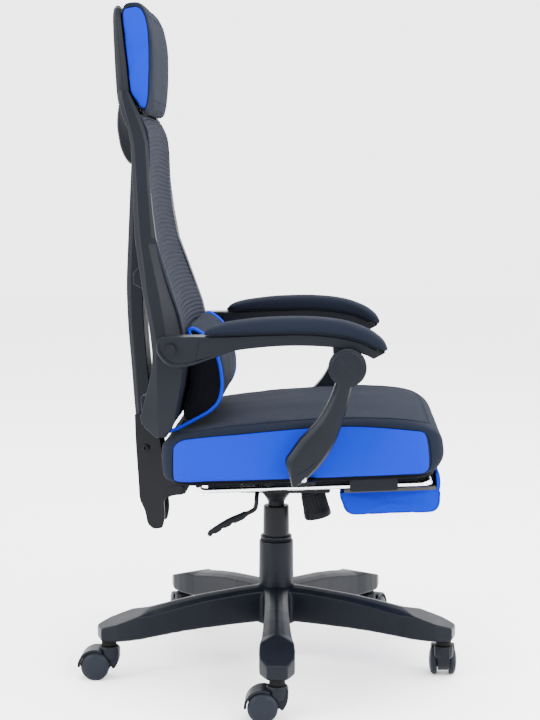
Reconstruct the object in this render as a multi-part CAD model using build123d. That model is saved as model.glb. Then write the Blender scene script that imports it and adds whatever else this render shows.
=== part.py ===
from build123d import *
import os
from math import cos, sin, radians

# Gaming chair, in millimetres. Origin on the column axis at floor level, +Z up.
# The sitter faces -Y, and the sitter's right hand is on the -X side.

# ---- driving dimensions ----
wheel_radius = 25.0
wheel_width = 14.0
leg_count = 5
stem_circle = 310.5          # radius of the circle the caster stems stand on
first_leg_angle = 2.7        # degrees from -X towards -Y
leg_tip_radius = 327.0
leg_bottom = 60.5
hub_radius = 36.0
hub_top = 143.0

tube_radius = 24.0
tube_top = 291.0
cylinder_radius = 15.0
cylinder_top = 345.0
rod_radius = 5.0
run_clearance = 0.05         # radial clearance of every turning or sliding fit

seat_tilt = 2.5              # degrees, front edge higher than the back edge
seat_level = 386.0           # underside of the cushion, above the column
seat_half_width = 232.0
seat_back_y = 186.0
seat_front_y = -295.0
board_thickness = 14.0

tilt_pivot = (-25.0, 343.0)      # (y, z) of the rocking shaft
recline_pivot = (170.0, 330.0)   # (y, z) of the backrest hinge
arm_rear_pivot = (160.0, 601.0)  # (y, z) where the armrest bolts to the back frame
arm_front_pivot = (-126.0, 575.0)
post_foot_pivot = (-56.0, 392.0)
open_pivot_clearance = 6.0   # play of the front armrest pin in its eye
bolt_radius = 5.0
shaft_radius = 6.0

footrest_rail_x = 150.0
footrest_rail_radius = 4.5
footrest_rail_level = 351.0
footrest_half_width = 132.0
footrest_top = 341.0
footrest_bottom = 298.0
footrest_cross_y = -268.0

arm_inner_x = 222.0
arm_outer_x = 268.0
post_inner_x = 256.0
post_outer_x = 287.0


# ---- helpers ----
def plate(points, x_low, x_high):
    """A side outline of straight runs, as (y, z) points, extruded from x_low to x_high."""
    outline = make_face(Polyline(*points, close=True))
    return extrude(Plane.YZ.offset(x_low) * outline, amount=x_high - x_low)


def side_rod(y, z, radius, x_low, x_high):
    """A round bar along X."""
    return extrude(Plane.YZ.offset(x_low) * Pos(y, z) * Circle(radius), amount=x_high - x_low)


def tube(outer, inner, z_low, z_high):
    return extrude(Pos(0, 0, z_low) * (Circle(outer) - Circle(inner)), amount=z_high - z_low)


def post_bar(radius, z_low, z_high):
    return extrude(Pos(0, 0, z_low) * Circle(radius), amount=z_high - z_low)


def block(x_low, x_high, y_low, y_high, z_low, z_high):
    size = (x_high - x_low, y_high - y_low, z_high - z_low)
    centre = ((x_low + x_high) / 2, (y_low + y_high) / 2, (z_low + z_high) / 2)
    return Pos(*centre) * Box(*size)


def front_outline(stations, y_low, y_high):
    """A prism along Y whose half width at each height is given as (z, half width)."""
    right = [(half, z) for z, half in stations]
    left = [(-half, z) for z, half in reversed(stations)]
    face = make_face(Polyline(*(right + left), close=True))
    return extrude(Plane.XZ.offset(-y_high) * face, amount=y_high - y_low)


def with_seat(shape):
    """Tips a shape that was drawn level into the seat's own slope."""
    return shape.rotate(Axis((0, 0, seat_level), (1, 0, 0)), -seat_tilt)


def seat_point(y, z):
    """Where a level (y, z) point lies once the seat is tipped."""
    c, s = cos(radians(seat_tilt)), sin(radians(seat_tilt))
    return (y * c + (z - seat_level) * s, seat_level - y * s + (z - seat_level) * c)


def both_sides(shape):
    return Compound(children=[Part(shape.wrapped), Part(mirror(shape, Plane.YZ).wrapped)])


def write(name, shape):
    export_step(shape, os.path.join("parts", name + ".step"))


# ---- star base and column ----
def leg_direction(number):
    angle = radians(first_leg_angle + number * 360 / leg_count)
    return (-cos(angle), -sin(angle))


def leg_section(number, radius, low, crease, high, half_width, top_half_width):
    dx, dy = leg_direction(number)
    plane = Plane(origin=(radius * dx, radius * dy, 0), x_dir=(-dy, dx, 0), z_dir=(dx, dy, 0))
    outline = [
        (-half_width * 0.86, low), (half_width * 0.86, low), (half_width, low + 8),
        (half_width, crease), (top_half_width, high), (-top_half_width, high),
        (-half_width, crease), (-half_width, low + 8),
    ]
    return plane * make_face(Polyline(*outline, close=True))


def base_leg(number):
    sections = [
        leg_section(number, 12, 74, 131, 142, 21, 14),
        leg_section(number, 120, 71, 124, 136, 22, 13),
        leg_section(number, 240, leg_bottom + 4, 109, 122, 27, 12),
        leg_section(number, 290, leg_bottom, 98, 110, 30, 13),
        leg_section(number, leg_tip_radius, leg_bottom + 2, 87, 95, 24, 11),
    ]
    return loft(sections, ruled=True)


def star_base():
    shape = post_bar(hub_radius, 62, hub_top)
    for number in range(leg_count):
        shape += base_leg(number)
    shape -= post_bar(tube_radius, 40, hub_top + 20)
    for number in range(leg_count):
        dx, dy = leg_direction(number)
        shape -= Pos(stem_circle * dx, stem_circle * dy) * post_bar(5.5, 40, 84)
    return shape


def caster_stems():
    stems = []
    for number in range(leg_count):
        dx, dy = leg_direction(number)
        stem = post_bar(5.5, 38, 84) + post_bar(8, 59.7, leg_bottom)
        stems.append(Part((Pos(stem_circle * dx, stem_circle * dy) * stem).wrapped))
    return Compound(children=stems)


def gas_tube():
    shell = tube(tube_radius, 20, 56, 200) + tube(tube_radius, cylinder_radius + run_clearance, 200, tube_top)
    return shell + tube(tube_radius, rod_radius + run_clearance, 56, 62)


def column_cover():
    return tube(31.5, tube_radius, hub_top + 0.2, 229) + tube(28, tube_radius, 229, 236)


def gas_rod():
    piston_radius = 12.0 - run_clearance
    return post_bar(rod_radius, 48, 262) + post_bar(piston_radius, 250, 262) + post_bar(9, 48, 55.5)


def gas_cylinder():
    shell = tube(cylinder_radius, 12, 85, 290) + post_bar(cylinder_radius, 290, cylinder_top)
    return shell + tube(cylinder_radius, rod_radius + run_clearance, 85, 92)


# ---- casters, drawn with the stem on the Z axis and the wheels trailing towards +Y ----
caster_trail = 23.0
hood_top = 59.2
hood_web = 10.0
hood_half_width = 20.0


def caster_body():
    web = plate(
        [(-18, 36), (-18, hood_top), (18, hood_top), (caster_trail, 53), (46, 34), (46, 18), (4, 18)],
        -hood_web, hood_web,
    )
    collar = post_bar(17, 50, hood_top)
    mudguard = side_rod(caster_trail, wheel_radius, 30, -hood_half_width, hood_half_width)
    mudguard -= side_rod(caster_trail, wheel_radius, 26.3, -30, 30)
    mudguard -= block(-40, 40, -60, 90, -20, wheel_radius + 1) + block(-40, 40, -60, 10, -20, 90)
    wheel_room = side_rod(caster_trail, wheel_radius, 26.3, hood_web, 40)
    shape = web + collar - wheel_room - mirror(wheel_room, Plane.YZ) + mudguard
    shape -= side_rod(caster_trail, wheel_radius, 4, -60, 60)
    shape -= post_bar(5.5 + run_clearance, 37.5, 70)
    axle = side_rod(caster_trail, wheel_radius, 4, -22, 22)
    return Compound(children=[Part(shape.wrapped), Part(axle.wrapped)])


def caster_wheel(side):
    inner = hood_web + 0.6
    tread = side_rod(caster_trail, wheel_radius, wheel_radius, inner, inner + 9)
    dome = extrude(
        Plane.YZ.offset(inner + 9) * Pos(caster_trail, wheel_radius) * Circle(wheel_radius),
        amount=wheel_width - 9, taper=45,
    )
    wheel = tread + dome - side_rod(caster_trail, wheel_radius, 4 + run_clearance, 0, 22.5)
    return wheel if side > 0 else mirror(wheel, Plane.YZ)


def place_caster(shape, number, heading):
    """heading turns the trailing direction away from +Y, in degrees about +Z."""
    dx, dy = leg_direction(number)
    return Pos(stem_circle * dx, stem_circle * dy) * Rot(0, 0, heading) * shape


caster_headings = [0, -90, -115, -76, 0]


# ---- rocking mechanism under the seat ----
knob_plane = Plane(origin=(0, -64.5, 320.0), x_dir=(1, 0, 0), z_dir=(0, -0.225, -0.974))
lever_point = (28.0, 337.0)


def knob_bar(radius, start, end):
    return extrude(knob_plane.offset(start) * Circle(radius), amount=end - start)


def mechanism_housing():
    shape = plate(
        [(-96, 324), (62, 324), (62, 334), (24, 350), (-44, 358), (-96, 358)], -58, 58,
    )
    shape = fillet(shape.edges().filter_by(Axis.Z), 8)
    shape += loft([Pos(0, 0, 303) * Circle(17.5), Pos(0, 0, 326) * Circle(32)])
    shape -= post_bar(cylinder_radius, 290, cylinder_top)
    shape -= side_rod(*tilt_pivot, shaft_radius, -80, 80)
    shape -= knob_bar(14, -32, -13)
    shape -= knob_bar(6 + run_clearance, -32, 20)
    return shape - side_rod(*lever_point, 8, -70, -34)


def tension_spring():
    return knob_bar(13, -31.5, -13.5) - knob_bar(7, -40, 0)


def tension_knob():
    grip = extrude(knob_plane.offset(2) * Circle(22), amount=51, taper=-3)
    for step in range(12):
        groove = Rot(0, 0, step * 30) * Pos(27.5, 0) * Circle(3.4)
        grip -= extrude(knob_plane.offset(13) * groove, amount=50)
    return grip + knob_bar(6, -31, 3)


def tilt_shaft():
    return side_rod(*tilt_pivot, shaft_radius, -70, 70)


def lever_bush():
    y, z = lever_point
    return side_rod(y, z, 9, -70, -61) - side_rod(y, z, 4 + run_clearance, -90, -40)


def lever_rod():
    y, z = lever_point
    path = FilletPolyline((-40, y, z), (-124, y, z), (-130, y + 4, 310), (-134, 54, 299), radius=7)
    start = Plane(origin=(-40, y, z), x_dir=(0, 1, 0), z_dir=(-1, 0, 0))
    return sweep(start * Circle(4), path=path)


def lever_grip():
    plane = Plane(origin=(-133, 50, 301), x_dir=(1, 0, 0), z_dir=(-0.06, 0.88, -0.47))
    shape = loft([
        plane * RectangleRounded(15, 12, 5),
        plane.offset(28) * RectangleRounded(22, 12.5, 5),
        plane.offset(72) * RectangleRounded(17, 9, 4),
    ])
    return shape - extrude(plane.offset(-1) * Circle(4), amount=9)


# ---- seat ----
def seat_plate():
    sheet = with_seat(block(-90, 90, -130, 110, seat_level - board_thickness - 3, seat_level - board_thickness))
    y, z = tilt_pivot
    top = seat_level - board_thickness - 3
    cheek = plate(
        [seat_point(-60, top), (y - 13, z), (y - 9, z - 11), (y + 9, z - 11), (y + 13, z), seat_point(30, top)],
        60, 63,
    )
    shape = sheet + cheek + mirror(cheek, Plane.YZ)
    return shape - side_rod(y, z, shaft_radius + run_clearance, -90, 90)


def seat_board():
    size = Rectangle(2 * (seat_half_width - 26), 436)
    slab = extrude(Pos(0, -48, seat_level - board_thickness) * size, amount=board_thickness)
    return with_seat(fillet(slab.edges().filter_by(Axis.Z), 50))


def seat_cushion():
    top = [
        (seat_back_y, 404), (seat_back_y - 2, 420), (172, 430), (140, 439), (60, 451),
        (-60, 462), (-160, 466), (-228, 459), (-273, 440), (-292, 420), (seat_front_y, 407),
        (-290, 394), (-274, seat_level + 1),
    ]
    edge = Spline(*top)
    floor = Polyline((-274, seat_level + 1), (-270, seat_level), (seat_back_y - 8, seat_level),
                     (seat_back_y, 404))
    profile = make_face(Curve() + [edge, floor])
    body = extrude(Plane.YZ.offset(-seat_half_width) * profile, amount=2 * seat_half_width)
    depth = seat_back_y - seat_front_y + 8
    plan = Pos(0, (seat_back_y + seat_front_y) / 2, 300) * RectangleRounded(2 * seat_half_width, depth, 52)
    return with_seat(body & extrude(plan, amount=300))


def slide_blocks():
    block_right = block(-footrest_rail_x - 13, -footrest_rail_x + 13, -212, -130,
                        footrest_rail_level - 10, seat_level - board_thickness)
    rail = extrude(
        Plane.XZ.offset(100) * Pos(-footrest_rail_x, footrest_rail_level)
        * Circle(footrest_rail_radius + run_clearance), amount=140)
    return both_sides(with_seat(block_right - rail))


def recline_bracket():
    y, z = recline_pivot
    top = seat_level - board_thickness
    cheek = plate(
        [seat_point(128, top), (y - 14, z - 2), (y - 9, z - 12), (y + 9, z - 12), (y + 13, z),
         (y + 10, z + 12), seat_point(170, top - 9), seat_point(170, top)],
        38.5, 43.5,
    )
    return both_sides(cheek - side_rod(y, z, shaft_radius, 0, 90))


def recline_shaft():
    return side_rod(*recline_pivot, shaft_radius, -47, 47)


def arm_foot_brackets():
    y, z = post_foot_pivot
    top = seat_level - board_thickness
    lug = plate(
        [seat_point(y - 30, top - 8), seat_point(y + 30, top - 8), (y + 22, z + 4), (y + 12, z + 18),
         (y - 12, z + 18), (y - 22, z + 4)],
        238, 252,
    )
    tray = with_seat(block(168, 244, y - 30, y + 30, top - 8, top))
    return both_sides(lug + tray - side_rod(y, z, bolt_radius, 200, 300))


def foot_bolts():
    y, z = post_foot_pivot
    return both_sides(side_rod(y, z, bolt_radius, 238, 288) + side_rod(y, z, 9, 287.6, 291))


# ---- footrest ----
def footrest_frame():
    x, y, z = footrest_rail_x, footrest_cross_y, footrest_rail_level
    path = FilletPolyline((-x, 124, z), (-x, y, z), (x, y, z), (x, 124, z), radius=15)
    start = Plane(origin=(-x, 124, z), x_dir=(1, 0, 0), z_dir=(0, -1, 0))
    return with_seat(sweep(start * Circle(footrest_rail_radius), path=path))


def footrest_board():
    return with_seat(block(4 - footrest_half_width, footrest_half_width - 4, footrest_cross_y - 10, -120,
                           footrest_top - 7, footrest_top))


def footrest_clips():
    y, z = footrest_cross_y, footrest_rail_level
    clip = plate([(y - 8, footrest_top), (y + 24, footrest_top), (y + 22, footrest_top + 3), (y + 8, z + 4),
                  (y + 3, z + 8), (y - 3, z + 8), (y - 8, z + 4)], 70, 96)
    clip -= side_rod(y, z, footrest_rail_radius + run_clearance, 60, 110)
    return both_sides(with_seat(clip))


def footrest_cushion():
    high = footrest_top - 7.2
    low = footrest_bottom
    outline = [(-285, high), (-284, low + 12), (-274, low), (-134, low), (-119, low + 12), (-113, high)]
    return with_seat(plate(outline, -footrest_half_width, footrest_half_width))


# ---- backrest ----
# Each station of a side rail: height, outer half width, thickness, front y, rear y.
rail_stations = [
    (448, 204, 22, 172, 194), (470, 211, 26, 161, 214), (500, 215, 27, 155, 213),
    (560, 219, 27, 143, 198), (600, 219, 27, 142, 194), (647, 216, 27, 149, 202),
    (708, 204, 26, 171, 215), (776, 186, 25, 193, 228), (870, 164, 24, 205, 234),
    (950, 152, 24, 209, 240), (985, 146, 24, 224, 254), (1024, 138, 20, 243, 260),
]
mesh_thickness = 3.5
mesh_stand_off = 4.0         # the mesh's front face ahead of the rails' front face
mesh_side_margin = 8.0


def frame_rail():
    sections = []
    for z, outer, thick, front, rear in rail_stations:
        centre = Pos(-outer + thick / 2, (front + rear) / 2, z)
        sections.append(centre * Rectangle(thick, rear - front))
    return loft(sections, ruled=True) - side_rod(*arm_rear_pivot, bolt_radius, -300, 0)


def neck_shell():
    shape = plate([(212, 930), (212, 950), (224, 976), (230, 988), (240, 999.5), (272, 999.5), (275, 978),
                   (275, 962), (269, 928), (262, 916), (256, 905), (232, 905), (232, 930)], -60, 60)
    arms = plate([(215, 930), (215, 962), (232, 962), (232, 930)], -125.8, 125.8)
    return shape + arms


def back_spine():
    return plate([(247, 405), (254, 482), (258, 545), (264, 620), (266, 700), (263, 753), (258, 850),
                  (255, 904.5), (228, 904.5), (231, 790), (236, 700), (234, 620), (228, 545), (222, 482),
                  (212, 405)], -32.5, 32.5)


def mid_bridge():
    return plate([(186, 690), (216, 690), (234.5, 700), (234.5, 720), (216, 740), (196, 740)], -169, 169)


def bottom_bridge():
    return plate([(182, 468), (215, 468), (219, 482), (221, 515), (182, 515)], -184.5, 184.5)


def headrest_shell():
    upper = plate([(241, 1032), (246.6, 1075), (251.6, 1120), (254.6, 1158), (256, 1166), (262, 1166),
                   (269, 1150), (269, 1140), (267, 1075), (265, 1032)], -134, 134)
    lower = plate([(240, 1000), (241, 1032), (265, 1032), (262.5, 1000)], -112, 112)
    return upper + lower


def headrest_cushion():
    outline = [(219, 984), (222, 992), (229, 1006), (237, 1018), (240, 1032), (246, 1075), (251, 1120),
               (254, 1158), (250, 1170), (238, 1172), (226, 1172), (215, 1158), (208, 1128), (205, 1080),
               (206, 1030), (210, 996), (214, 985)]
    return plate(outline, -134, 134)


def mesh_panel():
    stations = rail_stations[1:-1]
    front = [(station[3] - mesh_stand_off, station[0]) for station in stations]
    rear = [(y + mesh_thickness, z) for y, z in reversed(front)]
    widths = [(station[0], station[1] - mesh_side_margin) for station in stations]
    return plate(front + rear, -230, 230) & front_outline(widths, 60, 260)


def lumbar_pillow():
    return plate([(141, 630), (125, 623), (108, 608), (92, 579), (85, 549), (85, 527), (88, 510), (95, 495),
                  (106, 485), (117, 476), (132, 469), (146, 464), (155, 470), (154, 485), (142, 525),
                  (136.5, 560), (136, 600)], -158, 158)


def j_bracket():
    y, z = recline_pivot
    cheek = plate([(251, 462), (250, 415), (245, 333), (244, 306), (234, 286), (230, 262), (220, 252),
                   (202, 254), (198, 274), (200, 307), (y + 10, z - 15), (y - 5, z - 14), (y - 14, z - 5),
                   (y - 14, z + 6), (y - 6, z + 14), (200, z + 15), (203, 380), (212, 462)], 33, 38)
    return both_sides(cheek - side_rod(y, z, shaft_radius + run_clearance, 0, 90))


def arm_bolts():
    y, z = arm_rear_pivot
    return both_sides(side_rod(y, z, bolt_radius, 190, 270) + side_rod(y, z, 9, arm_outer_x + 0.6, 273))


# ---- armrests and their posts ----
arm_seam = [(-165, 603), (-140, 615), (-110, 622), (-60, 627), (0, 625), (60, 622), (103, 621)]


def armrest_shell():
    under = [(150, 620), (181, 617), (181, 600), (173, 586), (162, 577), (150, 574), (130, 576), (97, 587),
             (60, 600), (8, 607), (-48, 611), (-92, 608), (-104, 600), (-150, 598), (-157, 592)]
    shape = plate(arm_seam + under, arm_inner_x, arm_outer_x)
    y, z = arm_front_pivot
    shape += plate([(y - 22, z), (y - 24, 606), (y + 24, 606), (y + 22, z), (y + 15, z - 15), (y, z - 22),
                    (y - 15, z - 15)], arm_inner_x + 14, arm_outer_x)
    shape -= side_rod(y, z, bolt_radius + open_pivot_clearance, 200, 300)
    return shape - side_rod(*arm_rear_pivot, bolt_radius + run_clearance, 200, 300)


def armrest_pad():
    top = [(103, 629), (76, 643), (32, 649), (0, 652), (-64, 653), (-120, 648), (-160, 635), (-180, 622),
           (-188, 610), (-182, 598), (-168, 592)]
    seam = [(y, z + 0.3) for y, z in arm_seam]
    return plate(seam + top, arm_inner_x - 8, arm_outer_x + 8)


def arm_post():
    y, z = arm_front_pivot
    blade = plate([(-105, 555), (-97, 531), (-76, 490), (-45, 457), (-29, 430), (-25, 410), (-33, 382),
                   (-42, 378), (-63, 393), (-84, 418), (-104, 449), (-116, 482), (-126, 520), (-134, 552)],
                  post_inner_x, post_outer_x)
    blade -= side_rod(y, z, 40, 200, arm_outer_x + 1.5)
    disc = side_rod(y, z, 31, arm_outer_x + 1.5, post_outer_x + 2)
    shape = blade + disc - side_rod(y, z, bolt_radius, 200, 284)
    return shape - side_rod(*post_foot_pivot, bolt_radius + run_clearance, 200, 300)


def arm_front_pin():
    y, z = arm_front_pivot
    return side_rod(y, z, bolt_radius, 228, 284) + side_rod(y, z, 17, 228, 234)


# ---- write every part ----
def main():
    os.makedirs("parts", exist_ok=True)
    write("star_base", star_base())
    write("caster_stems", caster_stems())
    write("gas_tube", gas_tube())
    write("column_cover", column_cover())
    write("gas_rod", gas_rod())
    write("gas_cylinder", gas_cylinder())
    body = caster_body()
    for number, heading in enumerate(caster_headings):
        label = "caster_%d" % (number + 1)
        write(label + "_body", place_caster(body, number, heading))
        write(label + "_wheel_left", place_caster(caster_wheel(1), number, heading))
        write(label + "_wheel_right", place_caster(caster_wheel(-1), number, heading))
    write("mechanism_housing", mechanism_housing())
    write("tension_spring", tension_spring())
    write("tension_knob", tension_knob())
    write("tilt_shaft", tilt_shaft())
    write("lever_bush", lever_bush())
    write("lever_rod", lever_rod())
    write("lever_grip", lever_grip())
    write("seat_plate", seat_plate())
    write("seat_board", seat_board())
    write("seat_cushion", seat_cushion())
    write("slide_blocks", slide_blocks())
    write("recline_bracket", recline_bracket())
    write("recline_shaft", recline_shaft())
    write("arm_foot_brackets", arm_foot_brackets())
    write("foot_bolts", foot_bolts())
    write("footrest_frame", footrest_frame())
    write("footrest_board", footrest_board())
    write("footrest_clips", footrest_clips())
    write("footrest_cushion", footrest_cushion())
    write("frame_rail_right", frame_rail())
    write("frame_rail_left", mirror(frame_rail(), Plane.YZ))
    write("neck_shell", neck_shell())
    write("back_spine", back_spine())
    write("mid_bridge", mid_bridge())
    write("bottom_bridge", bottom_bridge())
    write("headrest_shell", headrest_shell())
    write("headrest_cushion", headrest_cushion())
    write("mesh_panel", mesh_panel())
    write("lumbar_pillow", lumbar_pillow())
    write("j_bracket", j_bracket())
    write("arm_bolts", arm_bolts())
    write("armrest_shell_left", armrest_shell())
    write("armrest_shell_right", mirror(armrest_shell(), Plane.YZ))
    write("armrest_pad_left", armrest_pad())
    write("armrest_pad_right", mirror(armrest_pad(), Plane.YZ))
    write("arm_post_left", arm_post())
    write("arm_post_right", mirror(arm_post(), Plane.YZ))
    write("arm_front_pin_left", arm_front_pin())
    write("arm_front_pin_right", mirror(arm_front_pin(), Plane.YZ))


main()
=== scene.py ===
import math

import bmesh
import bpy
import numpy as np
from mathutils import Matrix, Vector, noise
from mathutils.bvhtree import BVHTree


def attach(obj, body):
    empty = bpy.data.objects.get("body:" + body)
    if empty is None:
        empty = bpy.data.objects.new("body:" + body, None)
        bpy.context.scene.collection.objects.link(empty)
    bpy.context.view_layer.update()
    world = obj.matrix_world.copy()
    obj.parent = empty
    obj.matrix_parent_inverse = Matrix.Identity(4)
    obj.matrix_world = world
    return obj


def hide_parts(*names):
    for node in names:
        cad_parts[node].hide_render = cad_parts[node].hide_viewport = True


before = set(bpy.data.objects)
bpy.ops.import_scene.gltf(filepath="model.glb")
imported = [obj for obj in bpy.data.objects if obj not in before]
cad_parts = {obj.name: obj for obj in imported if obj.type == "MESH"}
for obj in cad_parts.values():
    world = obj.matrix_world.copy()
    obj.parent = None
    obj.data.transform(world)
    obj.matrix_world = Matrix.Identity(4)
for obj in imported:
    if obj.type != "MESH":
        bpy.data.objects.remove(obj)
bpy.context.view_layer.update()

# Lengths in this script are millimetres in the chair's own frame, until place() turns them to metres.
MM = 0.001
RIGHT, LEFT = -1, 1          # the sitter's sides: right is -X
SIDES = ((RIGHT, "right"), (LEFT, "left"))
SEAT_TILT = math.radians(2.5)
SEAT_LEVEL = 386.0
scene = bpy.context.scene


# ---------------------------------------------------------------- curves and outlines
def curve(points, count, closed=False):
    """count evenly spaced points on a smooth line through the given ones."""
    p = np.asarray(points, float)
    if closed:
        p = np.vstack([p[-2:], p, p[:2]])
    else:
        p = np.vstack([2 * p[0] - p[1], p, 2 * p[-1] - p[-2]])
    dense = []
    first, last = (2, len(p) - 2) if closed else (1, len(p) - 2)
    for i in range(first, last):
        a, b, c, d = p[i - 1], p[i], p[i + 1], p[i + 2]
        near, far = np.linalg.norm(c - b), np.linalg.norm(b - a)
        ahead = np.linalg.norm(d - c)
        m0 = (c - a) * near / max(near + far, 1e-9)
        m1 = (d - b) * near / max(near + ahead, 1e-9)
        t = np.linspace(0, 1, 16, endpoint=False)[:, None]
        dense.append((2 * t**3 - 3 * t**2 + 1) * b + (t**3 - 2 * t**2 + t) * m0
                     + (3 * t**2 - 2 * t**3) * c + (t**3 - t**2) * m1)
    dense = np.vstack(dense + [p[last][None]])
    return straight(dense, count, not closed)


def rounded(points, radius=4.0, steps=4):
    """A closed outline of straight runs with each corner turned into a short arc."""
    p = np.asarray([q[:2] for q in points], float)
    radii = [q[2] if len(q) > 2 else radius for q in points]
    out = []
    for i in range(len(p)):
        before, here, after = p[i - 1], p[i], p[(i + 1) % len(p)]
        run_in, run_out = here - before, after - here
        reach = min(radii[i], 0.45 * np.linalg.norm(run_in), 0.45 * np.linalg.norm(run_out))
        start = here - run_in / np.linalg.norm(run_in) * reach
        end = here + run_out / np.linalg.norm(run_out) * reach
        for t in np.linspace(0, 1, steps):
            out.append((1 - t)**2 * start + 2 * t * (1 - t) * here + t**2 * end)
    return np.array(out)


def travelled(p):
    """The distance from the first point to each point, along the line."""
    return np.r_[0, np.cumsum(np.linalg.norm(np.diff(p, axis=0), axis=1))]


def straight(points, count, to_end=True):
    """count evenly spaced points along straight runs."""
    p = np.asarray(points, float)
    steps = travelled(p)
    at = np.linspace(0, steps[-1], count, endpoint=to_end)
    return np.column_stack([np.interp(at, steps, p[:, k]) for k in range(p.shape[1])])


def between(table, z):
    """Interpolates the rows of a table, whose first column rises, at z."""
    t = np.asarray(sorted(table), float)
    return [float(np.interp(z, t[:, 0], t[:, k])) for k in range(1, t.shape[1])]


def turn_x(points, angle, y=0.0, z=0.0):
    """Turns points about a line along X through (y, z)."""
    p = np.array(points, float)
    c, s = math.cos(angle), math.sin(angle)
    dy, dz = p[:, 1] - y, p[:, 2] - z
    p[:, 1], p[:, 2] = y + dy * c - dz * s, z + dy * s + dz * c
    return p


def on_seat(points):
    return turn_x(points, -SEAT_TILT, 0.0, SEAT_LEVEL)


# ---------------------------------------------------------------- meshes
def skin(rings, cap=True, closed_ring=True, loop=False):
    """A mesh through rings that all have the same number of points."""
    rings = [np.asarray(r, float) for r in rings]
    n = len(rings[0])
    faces = []
    for i in range(len(rings) if loop else len(rings) - 1):
        a, b = i * n, ((i + 1) % len(rings)) * n
        for j in range(n if closed_ring else n - 1):
            k = (j + 1) % n
            faces.append((a + j, a + k, b + k, b + j))
    if cap and not loop:
        faces.append(tuple(range(n))[::-1])
        faces.append(tuple((len(rings) - 1) * n + j for j in range(n)))
    return np.vstack(rings), faces


def grid_faces(rows, cols):
    """The quads of a grid of points that is listed row by row."""
    return [(r * cols + c, r * cols + c + 1, (r + 1) * cols + c + 1, (r + 1) * cols + c)
            for r in range(rows - 1) for c in range(cols - 1)]


def prism(outline, x_low, x_high):
    """A (y, z) outline carried along X."""
    rings = [np.column_stack([np.full(len(outline), x), outline]) for x in (x_low, x_high)]
    return skin(rings)


def lathe(profile, steps=48):
    """(radius, height) pairs turned about Z. A radius of 0 at an end closes it."""
    angles = np.linspace(0, 2 * math.pi, steps, endpoint=False)
    rings = [np.column_stack([max(r, 0.02) * np.cos(angles), max(r, 0.02) * np.sin(angles),
                              np.full(steps, h)]) for r, h in profile]
    return skin(rings)


def tube(points, radius, sides=12, closed=False, cap=True):
    """A round bar along points; radius may be one number or one for each point."""
    p = np.asarray(points, float)
    radii = np.broadcast_to(np.asarray(radius, float), (len(p),))
    if closed:
        tangents = np.roll(p, -1, 0) - np.roll(p, 1, 0)
    else:
        tangents = np.gradient(p, axis=0)
    tangents /= np.maximum(np.linalg.norm(tangents, axis=1), 1e-9)[:, None]
    guide = np.array([0.0, 0.0, 1.0]) if abs(tangents[0, 2]) < 0.9 else np.array([1.0, 0.0, 0.0])
    side = np.cross(tangents[0], guide)
    angles = np.linspace(0, 2 * math.pi, sides, endpoint=False)
    rings = []
    for i, t in enumerate(tangents):
        side = side - t * (side @ t)
        side /= np.linalg.norm(side)
        up = np.cross(t, side)
        rings.append(p[i] + radii[i] * (np.cos(angles)[:, None] * side + np.sin(angles)[:, None] * up))
    return skin(rings, cap=cap, loop=closed)


def moved(mesh, at=(0, 0, 0), turn=None):
    """The same mesh turned by a matrix and then shifted."""
    verts, faces = mesh
    verts = np.asarray(verts, float)
    if turn is not None:
        verts = verts @ np.array(turn.to_3x3()).T
    return verts + np.asarray(at, float), faces


def along_x(mesh, x, y, z, side=1):
    """A lathed mesh laid with its axis along X, growing towards side."""
    verts, faces = mesh
    return np.column_stack([x + side * verts[:, 2], y + verts[:, 0], z + verts[:, 1]]), faces


def join(*meshes):
    verts, faces, count = [], [], 0
    for v, f in meshes:
        verts.append(np.asarray(v, float))
        faces += [tuple(i + count for i in face) for face in f]
        count += len(v)
    return np.vstack(verts), faces


def on_side(mesh, side):
    """A mesh made for the left side, mirrored when it is for the right one."""
    verts, faces = mesh
    if side == LEFT:
        return mesh
    return np.asarray(verts) * (-1, 1, 1), [face[::-1] for face in faces]


def tilted(mesh):
    """A mesh made for a level seat, tilted with the seat."""
    return on_seat(mesh[0]), mesh[1]


def place(name, mesh, body, material, replaces=None, bevel=0.0, segments=3, angle=32, subdivide=0):
    """Makes the Blender object of a mesh in millimetres, with its finish, on its body."""
    verts, faces = mesh
    data = bpy.data.meshes.new(name)
    data.from_pydata([tuple(v) for v in np.asarray(verts, float) * MM], [], faces)
    work = bmesh.new()
    work.from_mesh(data)
    bmesh.ops.recalc_face_normals(work, faces=work.faces)
    work.to_mesh(data)
    work.free()
    data.shade_smooth()
    obj = bpy.data.objects.new(name, data)
    scene.collection.objects.link(obj)
    if bevel:
        add_bevel(obj, bevel, segments, angle)
    if subdivide:
        sub = obj.modifiers.new("subdivide", "SUBSURF")
        sub.levels = sub.render_levels = subdivide
    data.materials.append(material)
    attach(obj, body)
    if replaces:
        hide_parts(replaces)
    return obj


def add_bevel(obj, width, segments=3, angle=32):
    bevel = obj.modifiers.new("edge", "BEVEL")
    bevel.width = width * MM
    bevel.segments = segments
    bevel.limit_method = "ANGLE"
    bevel.angle_limit = math.radians(angle)
    bevel.harden_normals = True
    bevel.use_clamp_overlap = True


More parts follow.
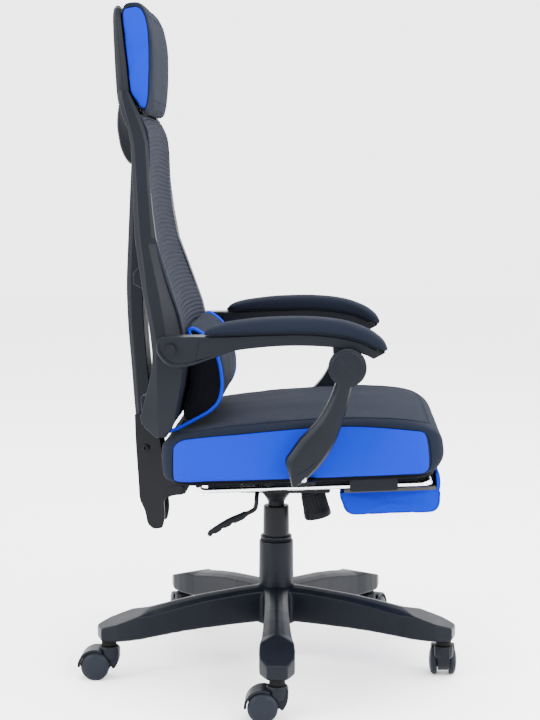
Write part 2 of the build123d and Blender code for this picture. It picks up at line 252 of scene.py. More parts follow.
# ---------------------------------------------------------------- materials
class Nodes:
    """A short way to write a material's node tree."""

    def __init__(self, name, **shader):
        self.material = bpy.data.materials.new(name)
        self.material.use_nodes = True
        self.tree = self.material.node_tree
        self.shader = self.tree.nodes["Principled BSDF"]
        for key, value in shader.items():
            self.shader.inputs[key.replace("_", " ")].default_value = value
        self.place = self.add("ShaderNodeTexCoord").outputs["Object"]

    def add(self, kind, **inputs):
        node = self.tree.nodes.new(kind)
        for key, value in inputs.items():
            self.put(node.inputs[key.replace("_", " ")], value)
        return node

    def put(self, socket, value):
        if isinstance(value, bpy.types.NodeSocket):
            self.tree.links.new(value, socket)
        else:
            socket.default_value = value

    def noise(self, scale, detail=2.0, roughness=0.5, at=None):
        node = self.add("ShaderNodeTexNoise", Scale=scale, Detail=detail, Roughness=roughness)
        self.put(node.inputs["Vector"], at or self.place)
        return node.outputs["Fac"]

    def maths(self, operation, a, b=None, c=None):
        node = self.add("ShaderNodeMath")
        node.operation = operation
        for socket, value in zip(node.inputs, (a, b, c)):
            if value is not None:
                self.put(socket, value)
        return node.outputs[0]

    def ramp(self, value, *stops):
        node = self.add("ShaderNodeValToRGB", Fac=value)
        ramp = node.color_ramp
        while len(ramp.elements) < len(stops):
            ramp.elements.new(0.5)
        for element, (position, colour) in zip(ramp.elements, stops):
            element.position = position
            element.color = (*colour, 1)
        return node.outputs["Color"]

    def span(self, value, low, high):
        node = self.add("ShaderNodeMapRange", Value=value)
        node.inputs["To Min"].default_value = low
        node.inputs["To Max"].default_value = high
        return node.outputs["Result"]

    def bump(self, height, strength, distance, under=None):
        node = self.add("ShaderNodeBump", Height=height, Strength=strength, Distance=distance)
        if under is not None:
            self.put(node.inputs["Normal"], under)
        return node.outputs["Normal"]

    def stripes(self, direction, pitch, wobble=0.0):
        """A wave from 0 to 1 across the given direction, repeating each pitch metres."""
        node = self.add("ShaderNodeVectorMath", Vector=self.place)
        node.operation = "DOT_PRODUCT"
        node.inputs[1].default_value = Vector(direction).normalized()
        value = node.outputs["Value"]
        if wobble:
            value = self.maths("ADD", value, self.maths("MULTIPLY", self.noise(60.0), wobble))
        turns = self.maths("MULTIPLY", value, 2 * math.pi / pitch)
        return self.maths("MULTIPLY_ADD", self.maths("SINE", turns), 0.5, 0.5)

    def done(self, colour=None, roughness=None, normal=None):
        for key, value in (("Base Color", colour), ("Roughness", roughness), ("Normal", normal)):
            if value is not None:
                self.put(self.shader.inputs[key], value)
        return self.material


def shade(colour, factor):
    return tuple(min(1.0, c * factor) for c in colour)


def moulded(name, colour, rough=(0.36, 0.5), grain=1400.0):
    """Moulded plastic: fine spark grain, cloudy gloss, scuffed edges and faint dust."""
    n = Nodes(name, Specular_IOR_Level=0.1)
    cloud = n.noise(9.0, 4.0)
    tone = n.ramp(cloud, (0.3, shade(colour, 0.86)), (0.72, shade(colour, 1.16)))
    edge = n.add("ShaderNodeNewGeometry").outputs["Pointiness"]
    worn = n.maths("MULTIPLY", n.ramp(edge, (0.52, (0, 0, 0)), (0.62, (1, 1, 1))), n.noise(160.0, 3.0))
    mix = n.add("ShaderNodeMix", Factor=n.maths("MULTIPLY", worn, 0.35))
    mix.data_type = "RGBA"
    n.put(mix.inputs[6], tone)
    n.put(mix.inputs[7], (*shade(colour, 2.6), 1))
    fine = n.bump(n.noise(grain, 2.0), 0.22, 0.00012)
    return n.done(mix.outputs[2], n.span(n.noise(35.0, 5.0), *rough),
                  n.bump(n.noise(14.0), 0.05, 0.002, fine))


def metal(name, colour, rough, streak=(0, 0, 1), pitch=0.0004):
    """Turned or polished metal: fine lines and cloudy roughness."""
    n = Nodes(name, Metallic=1.0)
    tone = n.ramp(n.noise(40.0, 4.0), (0.25, shade(colour, 0.9)), (0.8, colour))
    lines = n.bump(n.stripes(streak, pitch, 0.00015), 0.05, 0.00003)
    return n.done(tone, n.span(n.noise(80.0, 4.0), *rough), lines)


def woven(name, colour, pitch=0.0011, fleck=0.25, sheen=0.008, depth=0.00025):
    """Woven cloth: warp and weft crossing aslant on every face, flecked yarn, soft sheen."""
    n = Nodes(name, Sheen_Weight=sheen, Sheen_Roughness=0.5, Specular_IOR_Level=0.03)
    warp = n.stripes((1.0, 0.72, 0.35), pitch, 0.0003)
    weft = n.stripes((-0.62, 0.55, 1.0), pitch * 1.1, 0.0003)
    weave = n.maths("MAXIMUM", warp, weft)
    fibre = n.noise(2600.0, 3.0)
    yarn = n.maths("MULTIPLY_ADD", weave, 0.65, n.maths("MULTIPLY", fibre, 0.35))
    tone = n.ramp(yarn, (0.25, shade(colour, 1 - fleck)), (0.85, shade(colour, 1 + fleck)))
    cloud = n.add("ShaderNodeMix", Factor=n.span(n.noise(7.0, 5.0), 0.0, 0.30))
    cloud.data_type = "RGBA"
    n.put(cloud.inputs[6], tone)
    n.put(cloud.inputs[7], (*shade(colour, 1.25), 1))
    ripple = n.bump(n.noise(28.0, 3.0), 0.12, 0.0025)
    return n.done(cloud.outputs[2], n.span(fibre, 0.78, 0.95), n.bump(yarn, 0.55, depth, ripple))


def netted(name, colour):
    """Spacer mesh: small open cells in dark rows over a backing."""
    n = Nodes(name, Sheen_Weight=0.006, Specular_IOR_Level=0.04)
    cells = n.add("ShaderNodeTexVoronoi", Scale=620.0, Vector=n.place)
    cells.feature = "DISTANCE_TO_EDGE"
    holes = n.maths("SMOOTH_MIN", n.maths("MULTIPLY", cells.outputs["Distance"], 3.0), 1.0, 0.3)
    tone = n.ramp(holes, (0.0, shade(colour, 1.35)), (0.6, shade(colour, 0.55)))
    cloud = n.add("ShaderNodeMix", Factor=n.span(n.noise(11.0, 4.0), 0.0, 0.35))
    cloud.data_type = "RGBA"
    n.put(cloud.inputs[6], tone)
    n.put(cloud.inputs[7], (*shade(colour, 1.4), 1))
    relief = n.maths("SUBTRACT", 1.0, holes)
    return n.done(cloud.outputs[2], n.span(n.noise(200.0), 0.7, 0.9), n.bump(relief, 0.5, 0.0003))


def stained_board(name, colour):
    """Stained plywood: long grain lines and pores."""
    n = Nodes(name, Roughness=0.7)
    stretch = n.add("ShaderNodeMapping", Vector=n.place, Scale=(60.0, 4.0, 60.0)).outputs["Vector"]
    grain = n.noise(3.0, 6.0, 0.6, at=stretch)
    tone = n.ramp(grain, (0.3, shade(colour, 0.7)), (0.7, shade(colour, 1.4)))
    return n.done(tone, n.span(grain, 0.6, 0.8), n.bump(grain, 0.2, 0.0003))


PLASTIC = moulded("black_plastic_moulded", (0.0017, 0.0025, 0.0046))
PLASTIC_SOFT = moulded("black_plastic_soft_grip", (0.0016, 0.0022, 0.0036), (0.5, 0.65), 2200.0)
WHEEL = moulded("caster_nylon", (0.0045, 0.006, 0.0095), (0.38, 0.52), 1100.0)
# Near-black painted shade for the gaps round the column cover, between each caster and its leg, and at the
# casters' swivels.
GAP_SHADE = moulded("painted_gap_shade", (0.001, 0.001, 0.0012), (0.6, 0.8))
STEEL_BLACK = moulded("powder_coated_steel", (0.0018, 0.0022, 0.0032), (0.32, 0.48), 700.0)
STEEL = metal("turned_steel", (0.5, 0.5, 0.52), (0.22, 0.38))
CHROME = metal("polished_chrome", (0.9, 0.91, 0.93), (0.08, 0.2), (0, 1, 0), 0.002)
BOARD = stained_board("black_stained_board", (0.008, 0.0075, 0.007))
CLOTH = woven("charcoal_woven_cloth", (0.0043, 0.006, 0.0112))
CLOTH_ARM = woven("arm_pad_cloth", (0.0052, 0.0066, 0.011), 0.0010, 0.22)
CLOTH_DARK = woven("black_lining_cloth", (0.0018, 0.0021, 0.0032), 0.0009, 0.2)
BLUE = woven("blue_woven_cloth", (0.0008, 0.0095, 0.235), 0.0011, 0.16)
PIPING = woven("blue_piping_cord", (0.0012, 0.014, 0.32), 0.0009, 0.15, 0.008, 0.0002)
THREAD = woven("sewing_thread", (0.0095, 0.0115, 0.017), 0.0006, 0.2, 0.008, 0.0001)
MESH = netted("ribbed_mesh_cloth", (0.0048, 0.0064, 0.0125))


# ---------------------------------------------------------------- star base and column
STEM_CIRCLE = 310.5          # radius of the circle that the caster stems stand on
FIRST_LEG = math.radians(2.7)
CASTER_HEADINGS = (0, -90, -115, -76, 0)
# distance from the column, underside, top of the side wall, ridge, half width
LEG = [(26, 82, 138, 146, 23), (48, 81.5, 137, 145, 21.5), (70, 81, 135.5, 143.5, 21),
       (140, 79, 129, 137, 21.5), (180, 77, 123, 131.3, 22.8), (205, 75, 118.5, 127, 24),
       (235, 72.5, 113.5, 121.5, 26), (241, 72, 113.3, 120, 26.8), (248, 71.5, 113.2, 118, 27.6),
       (255, 71, 113.2, 116, 28.4), (262, 70.5, 113.2, 114, 29), (282, 70, 107.5, 108, 29.8),
       (302, 70, 101.7, 102.2, 29), (316, 70, 97.6, 98.1, 22.5), (325, 71, 94.6, 95.4, 18),
       (328, 73, 91, 92.4, 16.5)]
# where the flat end plate begins on the ridge, and where it reaches the sides
PLATE_START, PLATE_FULL = 235.0, 262.0


def leg_direction(number):
    angle = FIRST_LEG + number * 2 * math.pi / 5
    return np.array([-math.cos(angle), -math.sin(angle), 0.0])


def leg_mesh(number):
    along = leg_direction(number)
    across = np.array([-along[1], along[0], 0.0])
    up = np.array([0.0, 0.0, 1.0])
    rings = []
    for reach, under, crease, top, half in LEG:
        spread = float(np.clip((reach - PLATE_START) / (PLATE_FULL - PLATE_START), 0, 1))
        flat = half * (0.07 + 0.9 * spread)
        middle, high = (flat + half) / 2, (crease + top) / 2 + 1.3 * (1 - spread)
        outline = [(-half * 0.84, under), (half * 0.84, under), (half, under + 4), (half, crease),
                   (middle, high), (flat, top), (-flat, top), (-middle, high), (-half, crease),
                   (-half, under + 4)]
        rings.append([along * reach + across * w + up * h for w, h in outline])
    return skin(rings)


def bake(obj):
    """Applies every modifier of an object."""
    bpy.context.view_layer.update()
    data = bpy.data.meshes.new_from_object(obj.evaluated_get(bpy.context.evaluated_depsgraph_get()))
    obj.modifiers.clear()
    obj.data = data
    return obj


def melt(obj, voxel, smoothing, rounds):
    """Joins overlapping shells into one skin and rounds every inner and outer corner."""
    remesh = obj.modifiers.new("join", "REMESH")
    remesh.mode = "VOXEL"
    remesh.voxel_size = voxel * MM
    soften = obj.modifiers.new("soften", "SMOOTH")
    soften.factor = smoothing
    soften.iterations = rounds
    bake(obj)
    obj.data.shade_smooth()
    return obj


def make_base():
    hub = lathe([(24.4, 76), (34, 76), (41, 80), (43, 86), (43, 128), (41, 134), (35, 141), (31, 143.5),
                 (24.4, 143.5), (24.4, 76)], 72)
    shell = join((hub[0], hub[1][:-2]), *[leg_mesh(i) for i in range(5)])
    base = place("star_base_moulding", shell, "base", PLASTIC, "star_base")
    melt(base, 1.7, 0.5, 4)
    sockets = []
    for number in range(5):
        at = leg_direction(number) * STEM_CIRCLE
        collar = lathe([(6.2, 59.8), (12.5, 59.8), (13.2, 60.8), (13.2, 73), (6.2, 73)], 32)
        sockets.append(moved(collar, at))
    # Near-black rings of painted shade in the gap between each caster and its leg.
    place("caster_socket_shade_rings", join(*sockets), "base", GAP_SHADE, bevel=0.4)
    stem = [moved(lathe([(0, 38.4), (5.0, 38.4), (5.5, 39.2), (5.5, 80), (4.6, 81)], 24),
                  leg_direction(n) * STEM_CIRCLE) for n in range(5)]
    place("caster_stem_pins", join(*stem), "base", STEEL, "caster_stems")
    tube_profile = [(20.2, 56.4), (23.6, 56.4), (24, 57.2), (24, 226), (23.2, 286), (22.8, 289.6),
                    (21.6, 290.6), (15.4, 290.9), (15.1, 290.2), (15.1, 262), (20.2, 260), (20.2, 56.4)]
    place("gas_tube_body", lathe(tube_profile, 72), "base", STEEL_BLACK, "gas_tube", bevel=0.4)
    cover_profile = [(24.3, 143.0), (31.2, 143.0), (31.5, 144.5), (30.9, 224.5), (30.4, 226.4), (29.2, 227.2),
                     (27.4, 227.4), (27.2, 228.0), (27.2, 230.0), (27.8, 230.4), (28.6, 231.0), (28.6, 234.2),
                     (28.0, 235.6), (26.6, 236), (24.3, 236), (24.3, 143.0)]
    place("column_cover_shell", lathe(cover_profile, 72), "base", PLASTIC, "column_cover")
    # A near-black ring of painted shade in the gap between the cover's parts.
    gap = [(26.9, 227.2), (28.2, 227.5), (28.2, 230.3), (26.9, 230.6), (26.9, 227.2)]
    place("column_cover_gap_shade_ring", lathe(gap, 48), "base", GAP_SHADE)
    clip = lathe([(5.2, 49.2), (15.5, 49.2), (16, 49.8), (16, 51.6), (15.5, 52.2), (5.2, 52.2),
                  (5.2, 49.2)], 32)
    place("gas_rod_circlip", clip, "column_core", STEEL)


# ---------------------------------------------------------------- casters
TRAIL, WHEEL_RADIUS = 23.0, 25.0


def hood_mesh():
    """Twin-wheel caster hood: a wide mudguard over the wheels and a narrow housing round the stem."""
    def on_circle(radius, degrees):
        a = np.radians(degrees)
        return np.column_stack([TRAIL + radius * np.cos(a), WHEEL_RADIUS + radius * np.sin(a)])

    inner = on_circle(26.4, np.linspace(-2, 118, 36))
    outer = on_circle(30.6, np.linspace(114, -2, 30))
    guard = prism(np.vstack([inner, outer]), -20.4, 20.4)
    body = on_circle(29.8, np.linspace(40, 92, 14))
    front = rounded([(14, 58.9, 8), (-14, 58.9, 3), (-18.4, 54, 5), (-18.4, 33, 10), (-8, 15, 9)], steps=6)
    under = [(4, 12), (30, 12), (44, 26)]
    housing = prism(np.vstack([body, front, under]), -9.4, 9.4)
    collar = lathe([(0, 36), (14, 36), (16.2, 39), (17, 44), (17, 57.4), (16, 59), (0, 59)], 40)
    return join(guard, housing, collar)


def wheel_mesh(side):
    """Half of the twin wheel: tread with a shoulder groove, rim step and domed face."""
    profile = [(4.05, 10.7), (21.5, 10.7), (23.8, 11.2), (24.8, 12.4), (25, 13.6), (25, 17.6), (24.6, 18.5),
               (24.0, 18.9), (23.6, 18.8), (23.3, 19.3), (22.6, 20.6), (19.5, 22.0), (14, 23.4), (8, 24.2),
               (3, 24.5), (0, 24.55)]
    return along_x(lathe(profile, 64), 0, TRAIL, WHEEL_RADIUS, side)


def make_caster(number):
    label = "caster_%d" % (number + 1)
    at = leg_direction(number) * STEM_CIRCLE
    turn = Matrix.Rotation(math.radians(CASTER_HEADINGS[number]), 3, "Z")
    place(label + "_hood", moved(hood_mesh(), at, turn), label, PLASTIC, label + "_body",
          bevel=1.5, segments=4)
    # A thin near-black ring of painted shade where the caster swivels under its leg.
    neck = lathe([(5.7, 59.2), (15.5, 59.2), (16.2, 58.6), (16.2, 57.8)], 40)
    place(label + "_swivel_shade_ring", moved(neck, at), label, GAP_SHADE)
    for side, word in ((1, "left"), (-1, "right")):
        node = label + "_wheel_" + word
        place(label + "_twin_wheel_" + word, moved(wheel_mesh(side), at, turn), node, WHEEL, node)


# ---------------------------------------------------------------- rocking mechanism, knob and lever
def cad_finish(node, material, bevel=0.0):
    """Gives a CAD node its material, and rounded edges as a modifier."""
    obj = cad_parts[node]
    if not obj.material_slots:
        obj.data.materials.append(material)
    for holder in obj.material_slots:
        holder.material = material
    if bevel:
        weld = obj.modifiers.new("weld", "WELD")
        weld.merge_threshold = 0.01 * MM
        add_bevel(obj, bevel, 2, 40)


KNOB_AT = (0, -64.5, 320)    # where the tension screw leaves the mechanism case
KNOB_AXIS = (0, -0.225, -0.974)


def make_knob():
    """Fluted tension knob: a collar, soft flutes and a plain rolled end."""
    rings, steps = [], 144
    angles = np.linspace(0, 2 * math.pi, steps, endpoint=False)
    stations = [(2.2, 8, 0), (2.2, 19.5, 0), (3.2, 21.2, 0), (5.5, 21.6, 0), (6.8, 20.9, 0),
                (7.6, 21.9, 0.35), (10, 22.3, 1.0), (34, 23.6, 1.0), (37, 23.9, 0.6), (39.5, 24.5, 0.05),
                (48, 24.8, 0), (50.8, 24.1, 0), (52.4, 22.3, 0), (52.8, 17, 0), (51.4, 15.2, 0),
                (51.4, 0.02, 0)]
    for height, radius, flute in stations:
        wave = radius - flute * 1.5 * (0.5 + 0.5 * np.cos(24 * angles))**2
        rings.append(np.column_stack([wave * np.cos(angles), wave * np.sin(angles), np.full(steps, height)]))
    down = Vector(KNOB_AXIS).normalized()
    turn = down.to_track_quat("Z", "X").to_matrix()
    place("tension_knob_grip", moved(skin(rings), KNOB_AT, turn), "tension_knob", PLASTIC_SOFT,
          "tension_knob")
    stem = lathe([(0, -30.5), (5.9, -30.5), (5.9, 3), (0, 3)], 24)
    place("tension_screw", moved(stem, KNOB_AT, turn), "tension_knob", STEEL)


def make_lever():
    y, z = 28.0, 337.0
    route = curve([(-42, y, z), (-80, y, z), (-112, y, z), (-124, y + 0.3, z - 2.5), (-129, y + 0.6, z - 10),
                   (-130.5, y + 1, 319), (-131, y + 3.5, 311), (-132, y + 11, 306), (-133, 52, 300.2)], 70)
    place("lever_bent_rod", tube(route, 3.9, 20), "lift_lever", STEEL_BLACK, "lever_rod")
    start, run = np.array([-133, 50, 301.0]), np.array([-0.06, 0.88, -0.47])
    run /= np.linalg.norm(run)
    across = np.array([1.0, 0, 0.02])
    across -= run * (across @ run)
    across /= np.linalg.norm(across)
    up = np.cross(run, across)
    up *= np.sign(up[2])
    rings = []
    for s in np.linspace(0, 1, 56):
        half_width = np.interp(s, (0, 0.04, 0.2, 0.45, 0.8, 0.94, 1), (5.5, 7, 8.5, 10.5, 9.8, 8.0, 3.0))
        thick_up = np.interp(s, (0, 0.03, 0.3, 0.8, 0.95, 1), (4.2, 6.2, 6.6, 5.2, 4.6, 1.4))
        scallop = 2.6 * max(0.0, math.sin(s * 7.5 * math.pi))**2 * (s > 0.26) * (s < 0.93)
        thick_down = np.interp(s, (0, 0.03, 0.25, 0.85, 0.97, 1), (4.2, 6.0, 6.4, 6.2, 5.2, 1.4)) - scallop
        bow = 2.2 * math.sin(s * math.pi)
        ring = []
        for a in np.linspace(0, 2 * math.pi, 28, endpoint=False):
            c, d = math.cos(a), math.sin(a)
            w = half_width * math.copysign(abs(c)**0.8, c)
            h = (thick_up if d > 0 else thick_down) * math.copysign(abs(d)**0.75, d)
            ring.append(start + run * (72 * s) + across * w + up * (h + bow - 1.2))
        rings.append(ring)
    place("lever_paddle", skin(rings), "lift_lever", PLASTIC_SOFT, "lever_grip", subdivide=1)
    ferrule = tube([start - run * 5, start - run * 1.5, start + run * 3], [4.6, 5.4, 5.8], 24)
    place("lever_ferrule", ferrule, "lift_lever", PLASTIC, bevel=0.5)


def make_mechanism():
    """The pressed housing with its two cheeks, the cone over the gas spring and the bolts."""
    outline = rounded([(-96, 327, 6), (-30, 325, 4), (62, 325.5, 5), (62, 335, 4), (24, 350, 6),
                       (-44, 358, 6), (-96, 358, 6)], steps=5)
    body = prism(outline, -57.5, 57.5)
    cone = lathe([(15.2, 299.4), (16.2, 299.4), (16.8, 300.6), (18.4, 304), (22.6, 309.5), (26.6, 314.6),
                  (29.5, 319.4), (32, 326), (15.2, 326), (15.2, 299.4)], 56)
    ribs = [prism(rounded([(-24, 326, 1), (-15, 306.5, 2), (15, 306.5, 2), (30, 326, 1)], steps=3), x - 1.5,
                  x + 1.5) for x in (-19, 19)]
    place("mechanism_case", join(body, cone, *ribs), "mechanism", STEEL_BLACK, "mechanism_housing",
          bevel=1.2)
    rims = [prism(rounded([(-98, 356, 3), (-98, 325, 4), (-26, 324, 4), (64, 324.5, 4), (65, 336, 3),
                           (24, 351, 5), (-44, 360, 4), (-90, 360, 4)], steps=4), *span)
            for span in ((-60, -57.2), (57.2, 60))]
    place("mechanism_cheeks", join(*rims), "mechanism", STEEL_BLACK, bevel=0.6)
    heads = [hex_head(side * 60.1, *at, side, 6.5, 4.2) for side in (-1, 1)
             for at in ((-78, 342), (-2, 338))]
    place("mechanism_bolts", join(*heads), "mechanism", STEEL_BLACK, bevel=0.3)


def hex_head(x, y, z, side, radius, height):
    """A six-sided bolt head standing out along X."""
    washer = lathe([(radius * 1.25, 0), (radius * 1.25, 0.9), (radius, 1.0)], 28)
    hexagon = [(radius, 0.9), (radius, height - 0.8), (radius * 0.86, height), (0, height)]
    return join(along_x(washer, x, y, z, side), along_x(lathe(hexagon, 6), x, y, z, side))


def socket_head(x, y, z, side, radius, height):
    """A round bolt head with a hexagon socket sunk in it."""
    ring = lathe([(radius * 0.96, 0), (radius, 0.4), (radius, height - 1.2), (radius * 0.86, height - 0.2),
                  (radius * 0.58, height)], 36)
    angles = np.linspace(0, 2 * math.pi, 36, endpoint=False)
    hexagon = 0.5 * radius / np.cos((angles + math.pi / 6) % (math.pi / 3) - math.pi / 6)
    rings = [np.column_stack([k * hexagon * np.cos(angles), k * hexagon * np.sin(angles), np.full(36, h)])
             for k, h in ((1.0, height), (1.0, height - 2.0), (0.02, height - 2.3))]
    rim = np.column_stack([0.58 * radius * np.cos(angles), 0.58 * radius * np.sin(angles),
                           np.full(36, height)])
    socket = skin([rim, *rings], cap=False)
    return join(along_x((ring[0], ring[1][:-2]), x, y, z, side), along_x(socket, x, y, z, side))


# ---------------------------------------------------------------- backrest frame
# height, outer half width, thickness, front, front facet edge, rear facet edge, rear, and the depths of
# the front and rear facets
RAIL = [(446, 203, 20, 176, 180, 188.5, 194, 2, 3), (462, 209, 24, 165, 166, 188.5, 211, 2, 7),
        (471, 211, 26, 161, 162, 188.5, 217, 2, 9), (479, 213, 27, 159, 160, 188.5, 219.5, 2, 10),
        (500, 215, 27, 155, 156, 188.5, 213.5, 2, 10), (531, 217, 27, 149, 150.5, 188.5, 205, 2, 9),
        (564, 219, 27, 143, 147, 188.5, 197.5, 3, 7), (590, 219, 27, 141.5, 160, 188.5, 197, 8, 6),
        (613, 218.5, 27, 141.5, 173, 189.5, 199.5, 12, 7), (647, 216, 27, 149, 178, 196, 204, 13, 8),
        (686, 209, 26.5, 162, 185, 205, 213, 13, 8), (729, 199, 26, 176.5, 195, 211, 220, 12, 8),
        (768, 189, 25, 190, 204, 217, 227, 9, 8), (778, 186.5, 25, 192.5, 199, 219, 228.5, 4, 8),
        (820, 175, 24.5, 199, 203, 223.5, 231, 3.5, 6), (870, 164, 24, 204.5, 208.5, 227, 234, 3.5, 6),
        (934, 153.5, 24, 208, 212.5, 232, 238, 4, 6), (958, 150, 24, 213, 219, 238, 243, 6, 6),
        (985, 146, 23, 224, 230, 246, 254, 6, 5), (1008, 141, 21, 235, 240, 252, 259, 4, 4),
        (1024, 137, 18, 243, 246, 254, 260, 2, 3)]


def rail_ring(row, side):
    z, outer, thick, front, facet, back_facet, rear, depth, back_depth = row
    corners = [(outer - depth, front), (outer, facet), (outer, back_facet), (outer - back_depth, rear),
               (outer - thick, rear - 2), (outer - thick, front + 2)]
    return np.array([(side * x, y, z) for x, y in corners])


def make_rails():
    for side, word in SIDES:
        rings = [rail_ring(row, side) for row in RAIL]
        place("back_rail_" + word, skin(rings), "backrest", PLASTIC, "frame_rail_" + word,
              bevel=1.3, segments=3, angle=14)


def make_back_shells():
    neck = rounded([(216, 930, 3), (216, 950, 3), (226, 976, 4), (232, 988, 4), (242, 998.5, 3),
                    (262, 1010, 4), (272, 1007, 6), (275.5, 982, 14), (275.5, 962, 14), (270, 930, 16),
                    (262, 912, 8), (253, 901, 5), (234, 904, 5), (233, 928, 4)], steps=6)
    rings = []
    for x, shrink in ((-60, 0.80), (-57, 0.92), (-48, 0.985), (-30, 1.0), (30, 1.0), (48, 0.985),
                      (57, 0.92), (60, 0.80)):
        middle = np.array([250.0, 950.0])
        rings.append(np.column_stack([np.full(len(neck), x),
                                      middle + (neck - middle) * (shrink, 0.5 + shrink / 2)]))
    arms = prism(rounded([(216.5, 931, 4), (216.5, 960, 4), (231, 960, 4), (231, 931, 4)]), -125.5, 125.5)
    grooves = [prism(rounded([(262, 930, 1), (272.5, 958, 1), (274, 985, 1), (270, 985, 1), (268, 958, 1),
                              (258, 930, 1)], steps=3), x - 1.2, x + 1.2) for x in (-44, 44)]
    place("neck_cover", join(skin(rings), arms, *grooves), "backrest", PLASTIC, "neck_shell",
          bevel=2.2, segments=4, angle=40)
    spine = rounded([(247.5, 405, 3), (254, 482, 60), (258, 545, 60), (264, 620, 60), (266, 690, 30),
                     (263, 753, 30), (258, 850, 60), (255, 904, 2), (229, 904, 2), (231.5, 790, 60),
                     (236, 700, 60), (234, 620, 60), (228, 545, 60), (222, 482, 60), (212.5, 405, 3)],
                    steps=8)
    middle_y = 243
    rings = []
    for x, rear_cut, in ((-32.2, 9.0), (-24.5, 0.6), (24.5, 0.6), (32.2, 9.0)):
        out = spine.copy()
        rear_side = out[:, 0] > middle_y
        out[rear_side, 0] -= rear_cut
        rings.append(np.column_stack([np.full(len(out), x), out]))
    place("back_spine_beam", skin(rings), "backrest", PLASTIC, "back_spine", bevel=1.6,
          segments=3, angle=24)
    for node, name, outline, half in (("mid_bridge", "shoulder_crossbar",
                                       [(187, 692, 4), (214, 691, 5), (233.5, 701, 5), (233.5, 719, 5),
                                        (214, 739, 6), (197, 739, 5)], 168.5),
                                      ("bottom_bridge", "hip_crossbar",
                                       [(183, 469, 5), (213, 469, 5), (218.5, 483, 5), (220.5, 514, 5),
                                        (183, 514, 5)], 184)):
        bar = rounded(outline, steps=5)
        centre = bar.mean(0)
        rings = []
        for x in np.linspace(-half, half, 25):
            waist = 0.84 + 0.16 * abs(x / half)**2
            rings.append(np.column_stack([np.full(len(bar), x), centre + (bar - centre) * (1, waist)]))
        ribs = [prism(rounded([(centre[0] - 16, centre[1] - 17, 2), (centre[0] + 10, centre[1] - 15, 2),
                               (centre[0] + 10, centre[1] + 15, 2), (centre[0] - 16, centre[1] + 17, 2)],
                              steps=3), x - 1.3, x + 1.3) for x in (-120, -80, 80, 120)]
        place(name, join(skin(rings), *ribs), "backrest", PLASTIC, node, bevel=1.5, angle=40)
    make_headrest_shell()


def make_headrest_shell():
    """A shallow tray behind the headrest cushion, with a sloped rim that catches the light."""
    stations = [(1000.5, 241, 262.5, 133), (1012, 241.6, 264, 135.5), (1022, 242, 265, 137),
                (1059, 245.2, 267, 137.5), (1109, 250.6, 269, 137.5), (1138, 253.6, 269.8, 137),
                (1150, 254.8, 269.8, 135), (1159, 256, 268.6, 131), (1164.5, 257.5, 265.5, 124)]
    rings = []
    for z, front, rear, half in stations:
        ring = []
        k = min(1.0, (rear - front) / 18.5)
        for x, y in ((-half, front + 8.5 * k), (-half + 1.5, rear - 8 * k), (-half + 8, rear - 2 * k),
                     (-half + 18, rear), (half - 18, rear), (half - 8, rear - 2 * k),
                     (half - 1.5, rear - 8 * k), (half, front + 8.5 * k), (half - 5.5, front),
                     (-half + 5.5, front)):
            ring.append((x, y, z))
        rings.append(ring)
    place("headrest_tray", skin(rings), "backrest", PLASTIC, "headrest_shell", bevel=1.4,
          segments=3, angle=16)


def make_recline_bracket():
    """Two pressed cheeks tied by a rear web, with the spine bolts and the recline nuts."""
    y, z = 170.0, 330.0
    cheek = rounded([(251, 461, 3), (250, 415, 20), (245, 333, 20), (244, 306, 14), (234, 286, 14),
                     (230, 262, 6), (220, 252, 6), (202.5, 254, 5), (198, 274, 12), (200, 307, 10),
                     (y + 12, z - 16, 6), (y - 5, z - 15, 6), (y - 14, z - 5, 5), (y - 14, z + 6, 5),
                     (y - 6, z + 14, 6), (200, z + 16, 8), (203, 380, 14), (212, 461, 3)], steps=6)
    plates = []
    for side in (RIGHT, LEFT):
        low, high = sorted((side * 33.2, side * 38))
        plates.append(prism(cheek, low, high))
    web = rounded([(248, 404, 1), (243, 333, 20), (242, 307, 14), (232, 287, 12), (228, 263, 5),
                   (219, 254.5, 5), (216.5, 257.5, 5), (224, 265, 6), (228, 289, 12), (238, 309, 14),
                   (239, 333, 20), (243.5, 404, 1)], steps=5)
    lip = prism(web, -33.4, 33.4)
    place("recline_arm", join(*plates, lip), "backrest", STEEL_BLACK, "j_bracket",
          bevel=0.9, segments=3, angle=40)
    heads = [socket_head(side * 37.8, *at, side, 6.5, 4.6) for side in (-1, 1)
             for at in ((233, 442), (231, 400))]
    place("spine_bolts", join(*heads), "backrest", STEEL_BLACK)
    for side, word in SIDES:
        nut = hex_head(side * 47.2, y, z, side, 7.0, 5.0)
        place("recline_nut_" + word, nut, "seat", STEEL_BLACK, bevel=0.3)


# ---------------------------------------------------------------- mesh of the back
MESH_ROWS = [(471, 161, 202), (500, 155, 206.5), (560, 143, 210.5), (600, 142.5, 210.5), (647, 150, 207.5),
             (708, 172, 195.5), (776, 193, 177.5), (870, 204, 155.5), (950, 208, 143.5), (984, 222, 137.5)]
RIB_PITCH = 7.6


def mesh_front(z):
    rows = np.array(MESH_ROWS, float)
    smooth = curve(rows[:, [1, 0]], 400)
    widths = np.interp(z, rows[:, 0], rows[:, 2])
    return np.interp(z, smooth[:, 1], smooth[:, 0]), widths


